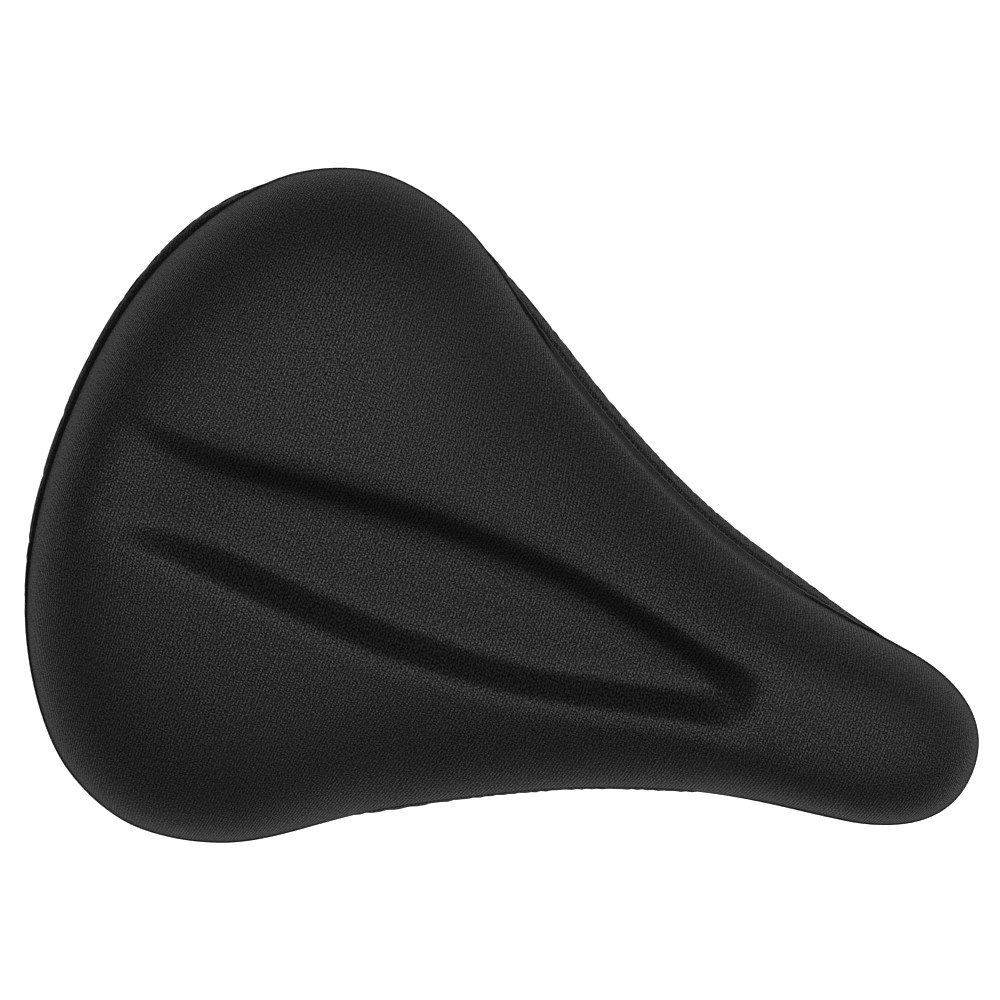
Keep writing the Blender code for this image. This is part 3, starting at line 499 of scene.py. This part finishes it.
def knit(name, dark, light, pitch):
    """Fine ribbed stretch knit: rows of small slanted stitches across the seat, with glinting filaments.
    Its colour is lighter on rib crests and filaments (partly lighter thread, partly painted highlight) and
    darker in the rib gaps (painted shade).
    """
    s = Shader(name)
    place = s.node("Attribute", attribute_name=CLOTH_PLACE).outputs["Vector"]
    split = s.node("SeparateXYZ")
    s.link(place, split.inputs[0])

    wobble = s.math("SUBTRACT", s.noise(place, RIB_WOBBLE_RATE), 0.5)
    rib_turn = s.math("DIVIDE", s.scaled(wobble, RIB_WOBBLE, split.outputs["X"]), pitch)
    across = s.math("FRACT", rib_turn)
    rib = s.math("POWER", s.math("SINE", s.math("MULTIPLY", across, math.pi)), RIB_ROUNDNESS)

    shift = s.math("MULTIPLY", s.math("FLOOR", rib_turn), STITCH_SHIFT)
    lean = s.math("MULTIPLY", across, STITCH_LEAN)
    stitch_turn = s.math("DIVIDE", split.outputs["Y"], STITCH_PITCH)
    stitch_turn = s.math("ADD", s.math("ADD", stitch_turn, shift), lean)
    stitch = s.math("ABSOLUTE", s.math("SINE", s.math("MULTIPLY", stitch_turn, math.pi)))
    loops = s.math("MULTIPLY", rib, s.scaled(stitch, STITCH_RELIEF, 1 - STITCH_RELIEF))

    fuzz = s.noise(place, FUZZ_RATE, roughness=FUZZ_ROUGHNESS)
    speck = s.scaled(fuzz, SPECK_GAIN, SPECK_OFFSET, clamp=True)
    # The tone sets the specular level, and it also paints the colour: lighter on rib crests and filament
    # specks as painted highlight, darker in the rib gaps as painted shade.
    tone = s.math("MULTIPLY", s.scaled(loops, *LOOP_TONE), s.scaled(speck, *SPECK_TONE))
    glint = s.scaled(s.math("MULTIPLY", tone, tone), KNIT_GLINT, KNIT_SHEEN)
    facing = s.node("LayerWeight").outputs["Facing"]
    glint = s.math("MULTIPLY", glint, s.scaled(facing, *GLINT_FACING, clamp=True))
    s.link(glint, s.shader.inputs["Specular IOR Level"])
    return s.finish(
        Base_Color=s.ramp(tone, (0.05, dark), (0.80, light)), Roughness=KNIT_ROUGHNESS,
        Normal=s.bump(s.scaled(fuzz, FUZZ_RELIEF, loops), strength=1.0, distance=KNIT_RELIEF),
    )


def moulded_plastic(name, colour):
    """Injection-moulded plastic with a fine spark texture."""
    s = Shader(name)
    place = s.object_place()
    grain = s.noise(place, scale=1800, detail=3, roughness=0.7)
    broad = s.noise(place, scale=35)
    tone = s.ramp(broad, (0.3, grey(colour * 0.8)), (0.7, grey(colour * 1.25)))
    return s.finish(
        Base_Color=tone, Roughness=s.scaled(broad, gain=0.16, offset=0.44),
        Normal=s.bump(grain, strength=0.35, distance=0.00010),
    )


BARE_STEEL = (0.22, 0.22, 0.23, 1)


def coated_steel(name, colour):
    """Black powder-coated steel with an orange-peel surface and a few fine scuffs."""
    s = Shader(name)
    place = s.object_place()
    peel = s.noise(place, scale=900)
    broad = s.noise(place, scale=60, detail=4, roughness=0.6)
    scuffs = s.noise(place, scale=210, detail=5, roughness=0.75)
    worn = s.scaled(scuffs, gain=7.0, offset=-4.75, clamp=True)
    worn = s.math("MULTIPLY", worn, s.scaled(broad, gain=2.0, offset=-0.9, clamp=True))
    mix = s.node("Mix", data_type="RGBA")
    factor, coat, bare = mix.inputs["Factor"], mix.inputs[6], mix.inputs[7]
    s.link(worn, factor)
    s.link(s.ramp(broad, (0.35, grey(colour * 0.8)), (0.65, grey(colour * 1.2))), coat)
    bare.default_value = BARE_STEEL
    return s.finish(
        Base_Color=mix.outputs[2], Roughness=s.scaled(broad, gain=0.2, offset=0.26),
        Normal=s.bump(peel, strength=0.18, distance=0.00008), Coat_Weight=0.25,
    )


def plated_steel(name, tint, roughness):
    """Bright zinc plate with small dull spots."""
    s = Shader(name)
    place = s.object_place()
    spots = s.noise(place, scale=420, detail=4, roughness=0.7)
    broad = s.noise(place, scale=45)
    tone = s.ramp(spots, (0.3, tuple(c * 0.72 for c in tint)), (0.6, tint))
    rough = s.scaled(broad, 0.08, s.scaled(spots, 0.22, roughness))
    return s.finish(
        Base_Color=tone, Metallic=1.0, Roughness=rough,
        Normal=s.bump(spots, strength=0.12, distance=0.00005),
    )


def moulded_foam(name, colour, cells, roughness):
    """Closed-cell foam, or gel: fine pores, with slightly darker patches."""
    s = Shader(name)
    place = s.object_place()
    pores = s.noise(place, scale=cells, detail=3, roughness=0.65)
    patches = s.noise(place, scale=50, detail=3)
    tone = s.ramp(patches, (0.3, grey(colour * 0.8)), (0.7, grey(colour * 1.2)))
    return s.finish(
        Base_Color=tone, Roughness=s.scaled(patches, gain=0.1, offset=roughness),
        Normal=s.bump(pores, strength=0.6, distance=0.00020),
    )


KNIT = knit("knit_cover", grey(0.0004), grey(0.0110), RIB_PITCH)
# The side panel's knit has a finer rib. Its lighter colour is kept darker than the top's as painted shade,
# for the band below the seam that the light barely reaches.
SKIRT = knit("knit_skirt_painted_shade", grey(0.0004), grey(0.0070), SKIRT_RIB_PITCH)
PLASTIC = moulded_plastic("moulded_base", 0.020)
COATED = coated_steel("black_coat", 0.018)
PLATED = plated_steel("zinc_plate", (0.58, 0.58, 0.57), 0.22)
SPRING = plated_steel("spring_plate_finish", (0.50, 0.50, 0.52), 0.14)
THREAD = moulded_plastic("seam_thread_finish", 0.006)
FOAM = moulded_foam("pad_foam", 0.030, 900, 0.75)
GEL = moulded_foam("pad_gel", 0.022, 120, 0.22)


# ---- cover -----------------------------------------------------------------------------------------
def make_top_panel():
    """The top panel. Returns where each of its columns ends on the flat cloth."""
    columns = top_columns()
    places = [cloth_places(column, station[1]) for column, station in zip(columns, STATIONS)]
    top = thicken(sheet_mesh("top_panel", columns, places), TOP_THICKNESS)
    top.data.materials.append(KNIT)
    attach(top, "seat")
    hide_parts("cover_top")
    return [column[-1] for column in places]


def make_side_panel(starts):
    """The side panel, its knit carried on from where the top panel's ends."""
    columns = skirt_columns()
    places = []
    for column, station, start in zip(columns, STATIONS, starts):
        run, spots = 0.0, []
        for k, point in enumerate(column):
            run += (point - column[k - 1]).length if k else 0.0
            spots.append((start[0] + station[1].x * run, start[1] + station[1].y * run))
        places.append(spots)
    skirt = sheet_mesh("side_panel", columns, places)
    settle_cloth(skirt, columns)
    thicken(skirt, SKIRT_THICKNESS)
    skirt.data.materials.append(SKIRT)
    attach(skirt, "seat")
    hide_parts("cover_skirt")


# ---- small mesh helpers ----------------------------------------------------------------------------
def add_piece(name, bm, finish, body, replaced=(), sharp=35):
    """A mesh made into a piece: shaded, finished, riding on a body, in place of CAD nodes."""
    bmesh.ops.recalc_face_normals(bm, faces=bm.faces)
    mesh = bpy.data.meshes.new(name)
    bm.to_mesh(mesh)
    bm.free()
    mesh.shade_smooth()
    mesh.set_sharp_from_angle(angle=math.radians(sharp))
    mesh.materials.append(finish)
    made = bpy.data.objects.new(name, mesh)
    bpy.context.scene.collection.objects.link(made)
    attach(made, body)
    if replaced:
        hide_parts(*replaced)
    return made


def skin(bm, rings, looped=False):
    """Faces through a list of rings of points: a solid with capped ends, or a closed loop of rings."""
    grid = [[bm.verts.new(point) for point in ring] for ring in rings]
    pairs = list(zip(grid, grid[1:]))
    if looped:
        pairs.append((grid[-1], grid[0]))
    else:
        bm.faces.new(grid[0])
        bm.faces.new(list(reversed(grid[-1])))
    for ring, following in pairs:
        for k in range(len(ring)):
            bm.faces.new((ring[k - 1], ring[k], following[k], following[k - 1]))


WIRE_CHAMFER = 0.25  # of the wire's radius


def add_wire(bm, path, radius, sides):
    """Round wire along a path, carried along without twist, its cut ends chamfered."""
    path = [Vector(point) for point in path]
    chamfer = WIRE_CHAMFER * radius
    path.insert(1, path[0] + (path[1] - path[0]).normalized() * chamfer)
    path.insert(-1, path[-1] + (path[-2] - path[-1]).normalized() * chamfer)
    turns = [2 * math.pi * n / sides for n in range(sides)]
    rings, side = [], None
    for k, point in enumerate(path):
        ahead = (path[min(k + 1, len(path) - 1)] - path[max(k - 1, 0)]).normalized()
        side = ahead.orthogonal() if side is None else side
        side = (side - ahead * side.dot(ahead)).normalized()
        other = ahead.cross(side)
        reach = radius - chamfer if k in (0, len(path) - 1) else radius
        rings.append([point + (side * math.cos(t) + other * math.sin(t)) * reach for t in turns])
    skin(bm, rings)


def bent_path(corners, radii, steps=14):
    """Straight runs through the corners, with a circular bend of the given radius at each inner one."""
    path = [Vector(corners[0])]
    for before, corner, after, radius in zip(corners, corners[1:], corners[2:], radii):
        corner = Vector(corner)
        into = (Vector(before) - corner).normalized()
        out = (Vector(after) - corner).normalized()
        half = into.angle(out) / 2
        centre = corner + (into + out).normalized() * (radius / math.sin(half))
        start = (corner + into * (radius / math.tan(half)) - centre).normalized()
        end = (corner + out * (radius / math.tan(half)) - centre).normalized()
        for k in range(steps + 1):
            path.append(centre + start.slerp(end, k / steps) * radius)
    path.append(Vector(corners[-1]))
    return path


# ---- fasteners -------------------------------------------------------------------------------------
RING_SIDES = 36
RING_TURNS = [2 * math.pi * k / RING_SIDES for k in range(RING_SIDES)]
THREAD_STEPS = 5  # rings of vertices to each turn of a thread
THREAD_DEPTH = 0.55  # of the pitch
THREAD_CHAMFER = 0.8  # of the depth
M5, M6, M8 = (0.0025, 0.0008), (0.003, 0.001), (0.004, 0.00125)  # shank radius and thread pitch
M5_HEAD, M6_HEAD, CLAMP_HEAD = 0.0035, 0.004, 0.0055
CLAMP_THREAD = 0.024
BOLT_THREAD = 0.75  # of the shank's length, on the smaller bolts
CORNER_RING = 0.97  # a hexagon's corners turn back outside this share of its half width
CORNER_ANGLE = math.radians(30)
DISH = (0.30, 0.55, 0.62)  # rings of the shallow dish in a bolt's head, as shares of its half width
DISH_DEPTH, EDGE_BREAK = 0.0004, 0.0003
BORE_CHAMFER = 0.0004
NUT_OVERLAP = 0.0001  # the nut's bore is this much smaller than the thread it is on


def circle(radius, height):
    return [(radius * math.cos(t), radius * math.sin(t), height) for t in RING_TURNS]


def hexagon(flat, height, chamfer=0):
    """A ring round a hexagon. A cone turns its corners back: downwards for chamfer 1, upwards for -1."""
    ring = []
    for t in RING_TURNS:
        reach = flat / math.cos((t + math.pi / 6) % (math.pi / 3) - math.pi / 6)
        fall = (reach - CORNER_RING * flat) * math.tan(CORNER_ANGLE)
        ring.append((reach * math.cos(t), reach * math.sin(t), height - chamfer * fall))
    return ring


def thread_rings(radius, pitch, low, high):
    """Rings of a screw thread between two heights, fading in at its foot, its end chamfered."""
    rings = []
    depth = THREAD_DEPTH * pitch
    count = max(round((high - low) / pitch * THREAD_STEPS), 2)
    for k in range(count + 1):
        z = low + (high - low) * k / count
        limit = radius - max(z - (high - THREAD_CHAMFER * depth), 0.0)
        ring = []
        for t in RING_TURNS:
            groove = 0.5 - 0.5 * math.cos(2 * math.pi * (z - low) / pitch - t)
            reach = min(radius - depth * groove * min((z - low) / pitch, 1.0), limit)
            ring.append((reach * math.cos(t), reach * math.sin(t), z))
        rings.append(ring)
    return rings


def bolt_rings(flat, head, size, length, threaded):
    """A hexagon bolt: its head below z = 0, with a shallow dish, and its shank up to length."""
    radius, pitch = size
    floor, wall, rim = (share * flat for share in DISH)
    head_rings = [
        circle(floor, DISH_DEPTH - head), circle(wall, EDGE_BREAK - head), circle(rim, -head),
        circle(CORNER_RING * flat, -head), hexagon(flat, -head, -1),
        hexagon(flat, -EDGE_BREAK), hexagon(flat * CORNER_RING, 0), circle(radius, 0),
    ]
    return head_rings + thread_rings(radius, pitch, length - threaded, length)


def nut_rings(flat, height, bore):
    """A hexagon nut on z = 0, chamfered on both faces and round its bore."""
    mouth, face = bore + BORE_CHAMFER, CORNER_RING * flat
    return [
        circle(bore, height - BORE_CHAMFER), circle(mouth, height), circle(face, height),
        hexagon(flat, height, 1), hexagon(flat, 0, -1), circle(face, 0),
        circle(mouth, 0), circle(bore, BORE_CHAMFER),
    ]


BODY_OF = {}
for body_name, names in (
    ("seat", ("upper_spring_bolt_left", "upper_spring_bolt_right", "plate_bolt_left", "plate_bolt_right",
              "nose_screw_rear", "nose_screw_front")),
    ("undercarriage", ("lower_spring_bolt_left", "lower_spring_bolt_right", "keeper_bolt_left",
                       "keeper_bolt_right", "lower_spring_nut_left", "lower_spring_nut_right",
                       "keeper_nut_left", "keeper_nut_right")),
    ("rail_cradle", ("clamp_bolt", "clamp_nut")),
):
    BODY_OF.update(dict.fromkeys(names, body_name))


def add_turned(node, rings, place, looped=False):
    """A turned part in place of a CAD node, on the node's own body."""
    bm = bmesh.new()
    skin(bm, rings, looped)
    bmesh.ops.transform(bm, matrix=place, verts=bm.verts)
    add_piece(node + "_detail", bm, PLATED, BODY_OF[node], (node,), sharp=28)


def make_fastener(node):
    """A bolt or nut that takes its place and size from the CAD node it stands for."""
    low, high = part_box(node)
    middle, span = (low + high) / 2, high - low
    crosswise = node.startswith("clamp")
    if crosswise:
        foot, height = Vector((middle.x, low.y, middle.z)), span.y
        along_axis, turn = Vector((0, 1, 0)), Matrix.Rotation(-math.pi / 2, 4, "X")
        size, head = M8, CLAMP_HEAD
    else:
        foot, height = Vector((middle.x, middle.y, low.z)), span.z
        along_axis, turn = Vector((0, 0, 1)), Matrix.Identity(4)
        size, head = (M5, M5_HEAD) if node.startswith(("keeper", "nose")) else (M6, M6_HEAD)
    if "nut" in node:
        rings = nut_rings(span.x / 2, height, size[0] - NUT_OVERLAP)
        add_turned(node, rings, Matrix.Translation(foot) @ turn, looped=True)
    else:
        length = height - head
        threaded = CLAMP_THREAD if crosswise else BOLT_THREAD * length
        rings = bolt_rings(span.x / 2, head, size, length, threaded)
        add_turned(node, rings, Matrix.Translation(foot + along_axis * head) @ turn)


# ---- springs and rails -----------------------------------------------------------------------------
SPRING_X, SPRING_Y = -0.105, 0.045
SPRING_Z = (0.0578, 0.0967)
SPRING_RADIUS, SPRING_WIRE = 0.015, 0.002
SPRING_TURNS, SPRING_END_TURNS = 5.5, 0.8
SPRING_END_PITCH = 2.25  # of the wire's radius, in the closely wound end turns
SPRING_STEPS = 36  # to each turn
SPRING_LEAN = 0.0004  # the upper end stands this far back, where its seat swings to
RAIL_RADIUS = 0.0035
RAIL_CORNERS = (
    (-0.121, 0.022, 0.0507), (-0.080, 0.022, 0.0507), (-0.054, 0.022, 0.061), (0.050, 0.022, 0.061),
    (0.105, 0.0145, 0.077), (0.105, -0.0145, 0.077), (0.050, -0.022, 0.061), (-0.054, -0.022, 0.061),
    (-0.080, -0.022, 0.0507), (-0.121, -0.022, 0.0507),
)
RAIL_BENDS = (0.016, 0.016, 0.016, 0.007, 0.007, 0.016, 0.016, 0.016)


def spring_path(side):
    """The coil's centre line: nearly closed turns at both ends, open turns between them."""
    low, high = SPRING_Z[0] + SPRING_WIRE, SPRING_Z[1] - SPRING_WIRE
    rise = SPRING_END_PITCH * SPRING_WIRE * SPRING_END_TURNS
    path = []
    steps = round(SPRING_TURNS * SPRING_STEPS)
    for k in range(steps + 1):
        turn = SPRING_TURNS * k / steps
        left = SPRING_TURNS - turn
        if turn < SPRING_END_TURNS:
            z = low + rise * turn / SPRING_END_TURNS
        elif left < SPRING_END_TURNS:
            z = high - rise * left / SPRING_END_TURNS
        else:
            share = (turn - SPRING_END_TURNS) / (SPRING_TURNS - 2 * SPRING_END_TURNS)
            z = low + rise + (high - low - 2 * rise) * share
        angle = 2 * math.pi * turn * side
        back = SPRING_LEAN * turn / SPRING_TURNS
        path.append((SPRING_X - back + SPRING_RADIUS * math.cos(angle),
                     side * SPRING_Y + SPRING_RADIUS * math.sin(angle), z))
    return path


def make_springs():
    for word, side in (("left", 1), ("right", -1)):
        bm = bmesh.new()
        add_wire(bm, spring_path(side), SPRING_WIRE, sides=14)
        coil = add_piece(f"coil_{word}", bm, SPRING, "undercarriage", (f"spring_{word}",), sharp=50)
        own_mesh(coil)


def make_rails():
    """Both rails in one piece of wire, joined by the cross bar in the nose."""
    bm = bmesh.new()
    add_wire(bm, bent_path(RAIL_CORNERS, RAIL_BENDS), RAIL_RADIUS, sides=24)
    add_piece("rail_wire", bm, COATED, "undercarriage", ("rail_frame",), sharp=50)


# ---- seam thread, hem staples and ribs under the base ------------------------------------------------
SEAM_THREAD_RADIUS, SEAM_THREAD_DIP = 0.00022, 0.00008
SEAM_THREAD_AT = 0.97  # how far down the panel's turned edge the stitching runs
SEAM_THREAD_STEPS = 4  # between one station and the next
HEM_INSET, HEM_DROP = 0.0090, 0.0217  # where the staples lie
STAPLE_PITCH, STAPLE_HALF, STAPLE_LEG = 0.0175, 0.0036, 0.0022
STAPLE_RADIUS, STAPLE_BEND = 0.0003, 0.0005
STAPLE_LEAN, STAPLE_LEAN_RATE = 0.25, 90  # how unevenly they lie, and how fast that changes
BASE_DROP, BASE_DOME, BASE_INSET = 0.0195, 0.0060, 0.0055
BASE_CURVE = 2.2  # exponent of the base's fall from its middle to its rim
RIB_DEPTH, RIB_HALF, RIB_ROOT = 0.0038, 0.0008, 0.0012
RIB_STEPS = 40
RIB_END, RIB_SWELL = 0.02, 0.35  # the share at which its ends are cut off, and how fast it rises there
RIB_LINES = (  # (y, rear end, front end)
    (0.013, -0.086, 0.060), (-0.013, -0.086, 0.060), (0.034, -0.086, 0.006), (-0.034, -0.086, 0.006),
    (0.055, -0.086, -0.030), (-0.055, -0.086, -0.030),
)


def make_seam_thread():
    """Top stitching that dips in and out of the panel just above the seam."""
    spots = []
    for near, far in zip(STATIONS, STATIONS[1:]):
        start, end = panel_edge(near, SEAM_THREAD_AT), panel_edge(far, SEAM_THREAD_AT)
        for k in range(SEAM_THREAD_STEPS):
            share = k / SEAM_THREAD_STEPS
            run = near[2] + (far[2] - near[2]) * share
            out = SEAM_THREAD_DIP * math.cos(2 * math.pi * run / SEAM_STITCH)
            spots.append(start.lerp(end, share) + near[1].lerp(far[1], share) * out)
    right = [(spot.x, -spot.y, spot.z) for spot in reversed(spots)]
    bm = bmesh.new()
    add_wire(bm, right + spots[1:], SEAM_THREAD_RADIUS, sides=6)
    add_piece("seam_thread", bm, THREAD, "seat", sharp=60)


def make_staples():
    """Flat staples that pin the hem to the base, all the way round."""
    bm = bmesh.new()
    leg = Vector((0, 0, STAPLE_LEG))
    for side in (1, -1):
        wanted = STAPLE_PITCH / 2
        for station, following in zip(STATIONS, STATIONS[1:]):
            if following[2] < wanted:
                continue
            wanted += STAPLE_PITCH
            normal = station[1]
            place = rim_point(station, HEM_INSET, HEM_DROP)
            tangent = Vector((normal.y, -normal.x, 0))
            lean = STAPLE_LEAN * noise.noise(Vector((station[2] * STAPLE_LEAN_RATE, side * 5.0, 0)))
            half = (tangent + normal * lean).normalized() * STAPLE_HALF
            corners = [place - half + leg, place - half, place + half, place + half + leg]
            corners = [Vector((corner.x, side * corner.y, corner.z)) for corner in corners]
            path = bent_path(corners, (STAPLE_BEND, STAPLE_BEND), steps=3)
            add_wire(bm, path, STAPLE_RADIUS, sides=6)
    add_piece("hem_staples", bm, PLATED, "seat", sharp=50)


def base_level(x, y):
    """The height of the base's underside at a place in plan."""
    rim = min(STATIONS, key=lambda s: abs(s[0].x - x) + (0 if s[0].y > abs(y) else 1))
    share = min(abs(y) / max(rim[0].y - BASE_INSET, 0.001), 1.0)
    return along(EDGE_Z, x) - BASE_DROP + BASE_DOME * (1 - share**BASE_CURVE)


def rib_section(x, y, deep):
    """A ring round the rib's section: its root inside the base, its crest rounded."""
    base = base_level(x, y)
    left_half = [(1.4 * RIB_HALF, base + RIB_ROOT), (RIB_HALF, base - deep + RIB_HALF / 2),
                 (0.5 * RIB_HALF, base - deep)]
    return ([(x, y - out, z) for out, z in left_half]
            + [(x, y + out, z) for out, z in reversed(left_half)])


def make_ribs():
    """Moulded stiffening ribs along the base's underside, running forwards from the boss bar."""
    bm = bmesh.new()
    for y, start, stop in RIB_LINES:
        rings = []
        for k in range(RIB_STEPS + 1):
            share = k / RIB_STEPS
            rise = math.sin(math.pi * min(max(share, RIB_END), 1 - RIB_END)) ** RIB_SWELL
            rings.append(rib_section(start + (stop - start) * share, y, RIB_DEPTH * rise))
        skin(bm, rings)
    add_piece("base_ribs", bm, PLASTIC, "seat", sharp=40)


# ---- CAD parts that stay visible: how much each one's edges are rounded -------------------------------
SOFTENED = {
    "spring_plate": 0.0005, "spring_bridge": 0.0005, "rail_keeper": 0.0007, "seatpost_strap": 0.0006,
    "inner_clamp_plate_left": 0.0006, "inner_clamp_plate_right": 0.0006,
    "outer_clamp_plate_left": 0.0006, "outer_clamp_plate_right": 0.0006,
    "nose_bracket": 0.0008, "nose_cap": 0.0005, "clamp_washer_left": 0.0002, "clamp_washer_right": 0.0002,
    "lower_spring_cup_left": 0.0003, "lower_spring_cup_right": 0.0003,
    "upper_spring_cup_left": 0.0003, "upper_spring_cup_right": 0.0003,
}


def soften(node, width):
    """A small rounding on a CAD part's edges, in its looks only."""
    bevel = NODES[node].modifiers.new("softened edges", "BEVEL")
    bevel.width = width
    bevel.segments = 2
    bevel.limit_method = "ANGLE"
    bevel.angle_limit = math.radians(40)


FINISHES = {
    "base_shell": PLASTIC, "nose_bracket": PLASTIC, "foam_pad": FOAM,
    "gel_pad_left": GEL, "gel_pad_right": GEL,
    "spring_left": SPRING, "spring_right": SPRING,
}
BRIGHT_WORDS = ("bolt", "nut", "screw", "washer")


def finish_nodes():
    """The CAD parts' own finishes: bright fasteners, black steel, plastic, foam and gel."""
    for name, node in NODES.items():
        bright = any(word in name for word in BRIGHT_WORDS)
        node.data.materials.clear()
        node.data.materials.append(FINISHES.get(name, PLATED if bright else COATED))


def make_hardware():
    """All the pieces besides the cover, and the rounded edges of the CAD parts that stay."""
    for node in BODY_OF:
        make_fastener(node)
    make_springs()
    make_rails()
    make_seam_thread()
    make_staples()
    make_ribs()
    for node, width in SOFTENED.items():
        soften(node, width)


# ---- studio ----------------------------------------------------------------------------------------
VIEW_FROM = Vector((-math.sin(math.radians(3.5)), math.sin(math.radians(9.0)), 0.0))
VIEW_FROM.z = math.sqrt(1 - VIEW_FROM.length_squared)
NOSE_TURN = math.radians(21.3)
CAMERA_AT = Vector((-0.0207, 0.0254, 0.115))
CAMERA_DISTANCE = 1.2
FRAME_WIDTH = 0.2832
SENSOR = 36.0
WORLD_LIGHT = 0.12
OVERHEAD_AT, OVERHEAD_SIZE, OVERHEAD_POWER = (0.19, 0.24, 1.75), 2.4, 102
OVERHEAD_AIM = (0, 0, 0.11)
FLOOR_HALF, FLOOR_Z = 1.1, -0.02
FLOOR_GREY, FLOOR_GLOW = 0.93, 0.25


def make_camera():
    """A long lens from above, a little from behind and from the rider's left."""
    camera = bpy.data.objects.new("camera", bpy.data.cameras.new("camera"))
    bpy.context.scene.collection.objects.link(camera)
    right = Vector((math.cos(NOSE_TURN), math.sin(NOSE_TURN), 0))
    right = (right - VIEW_FROM * right.dot(VIEW_FROM)).normalized()
    up = VIEW_FROM.cross(right)
    turn = Matrix((right, up, VIEW_FROM)).transposed()
    camera.matrix_world = Matrix.Translation(CAMERA_AT + VIEW_FROM * CAMERA_DISTANCE) @ turn.to_4x4()
    camera.data.sensor_width = SENSOR
    camera.data.lens = SENSOR * CAMERA_DISTANCE / FRAME_WIDTH
    camera.data.clip_end = 10
    bpy.context.scene.camera = camera


def make_light():
    """One large soft light overhead."""
    data = bpy.data.lights.new("overhead", "AREA")
    data.shape = "RECTANGLE"
    data.size = data.size_y = OVERHEAD_SIZE
    data.energy = OVERHEAD_POWER
    light = bpy.data.objects.new("overhead", data)
    bpy.context.scene.collection.objects.link(light)
    light.location = OVERHEAD_AT
    aim = Vector(OVERHEAD_AIM) - Vector(OVERHEAD_AT)
    light.rotation_euler = aim.to_track_quat("-Z", "Y").to_euler()


def make_floor():
    """A white floor that glows enough to hide the shadow, and is clear from below."""
    bm = bmesh.new()
    bmesh.ops.create_grid(bm, x_segments=1, y_segments=1, size=FLOOR_HALF)
    mesh = bpy.data.meshes.new("floor")
    bm.to_mesh(mesh)
    bm.free()
    floor = bpy.data.objects.new("floor", mesh)
    bpy.context.scene.collection.objects.link(floor)
    floor.location.z = FLOOR_Z
    paint = Shader("floor_paint")
    paint.finish(Base_Color=(*grey(FLOOR_GREY), 1), Roughness=0.9)
    paint.shader.inputs["Emission Color"].default_value = (1, 1, 1, 1)
    paint.shader.inputs["Emission Strength"].default_value = FLOOR_GLOW
    under = paint.node("NewGeometry").outputs["Backfacing"]
    pick = paint.node("MixShader")
    paint.link(under, pick.inputs["Fac"])
    paint.link(paint.shader.outputs["BSDF"], pick.inputs[1])
    paint.link(paint.node("BsdfTransparent").outputs["BSDF"], pick.inputs[2])
    paint.link(pick.outputs["Shader"], paint.tree.nodes["Material Output"].inputs["Surface"])
    mesh.materials.append(paint.material)


def make_world():
    """White to the camera, and a weak white light on the saddle."""
    world = bpy.data.worlds.new("studio")
    bpy.context.scene.world = world
    world.use_nodes = True
    tree = world.node_tree
    seen = tree.nodes.new("ShaderNodeLightPath").outputs["Is Camera Ray"]
    strength = tree.nodes.new("ShaderNodeMapRange")
    strength.inputs["To Min"].default_value = WORLD_LIGHT
    strength.inputs["To Max"].default_value = 1.0
    tree.links.new(seen, strength.inputs["Value"])
    tree.links.new(strength.outputs["Result"], tree.nodes["Background"].inputs["Strength"])
    tree.nodes["Background"].inputs["Color"].default_value = (1, 1, 1, 1)
    bpy.context.scene.view_settings.view_transform = "Standard"


make_side_panel(make_top_panel())
make_hardware()
finish_nodes()
make_camera()
make_floor()
make_world()
make_light()
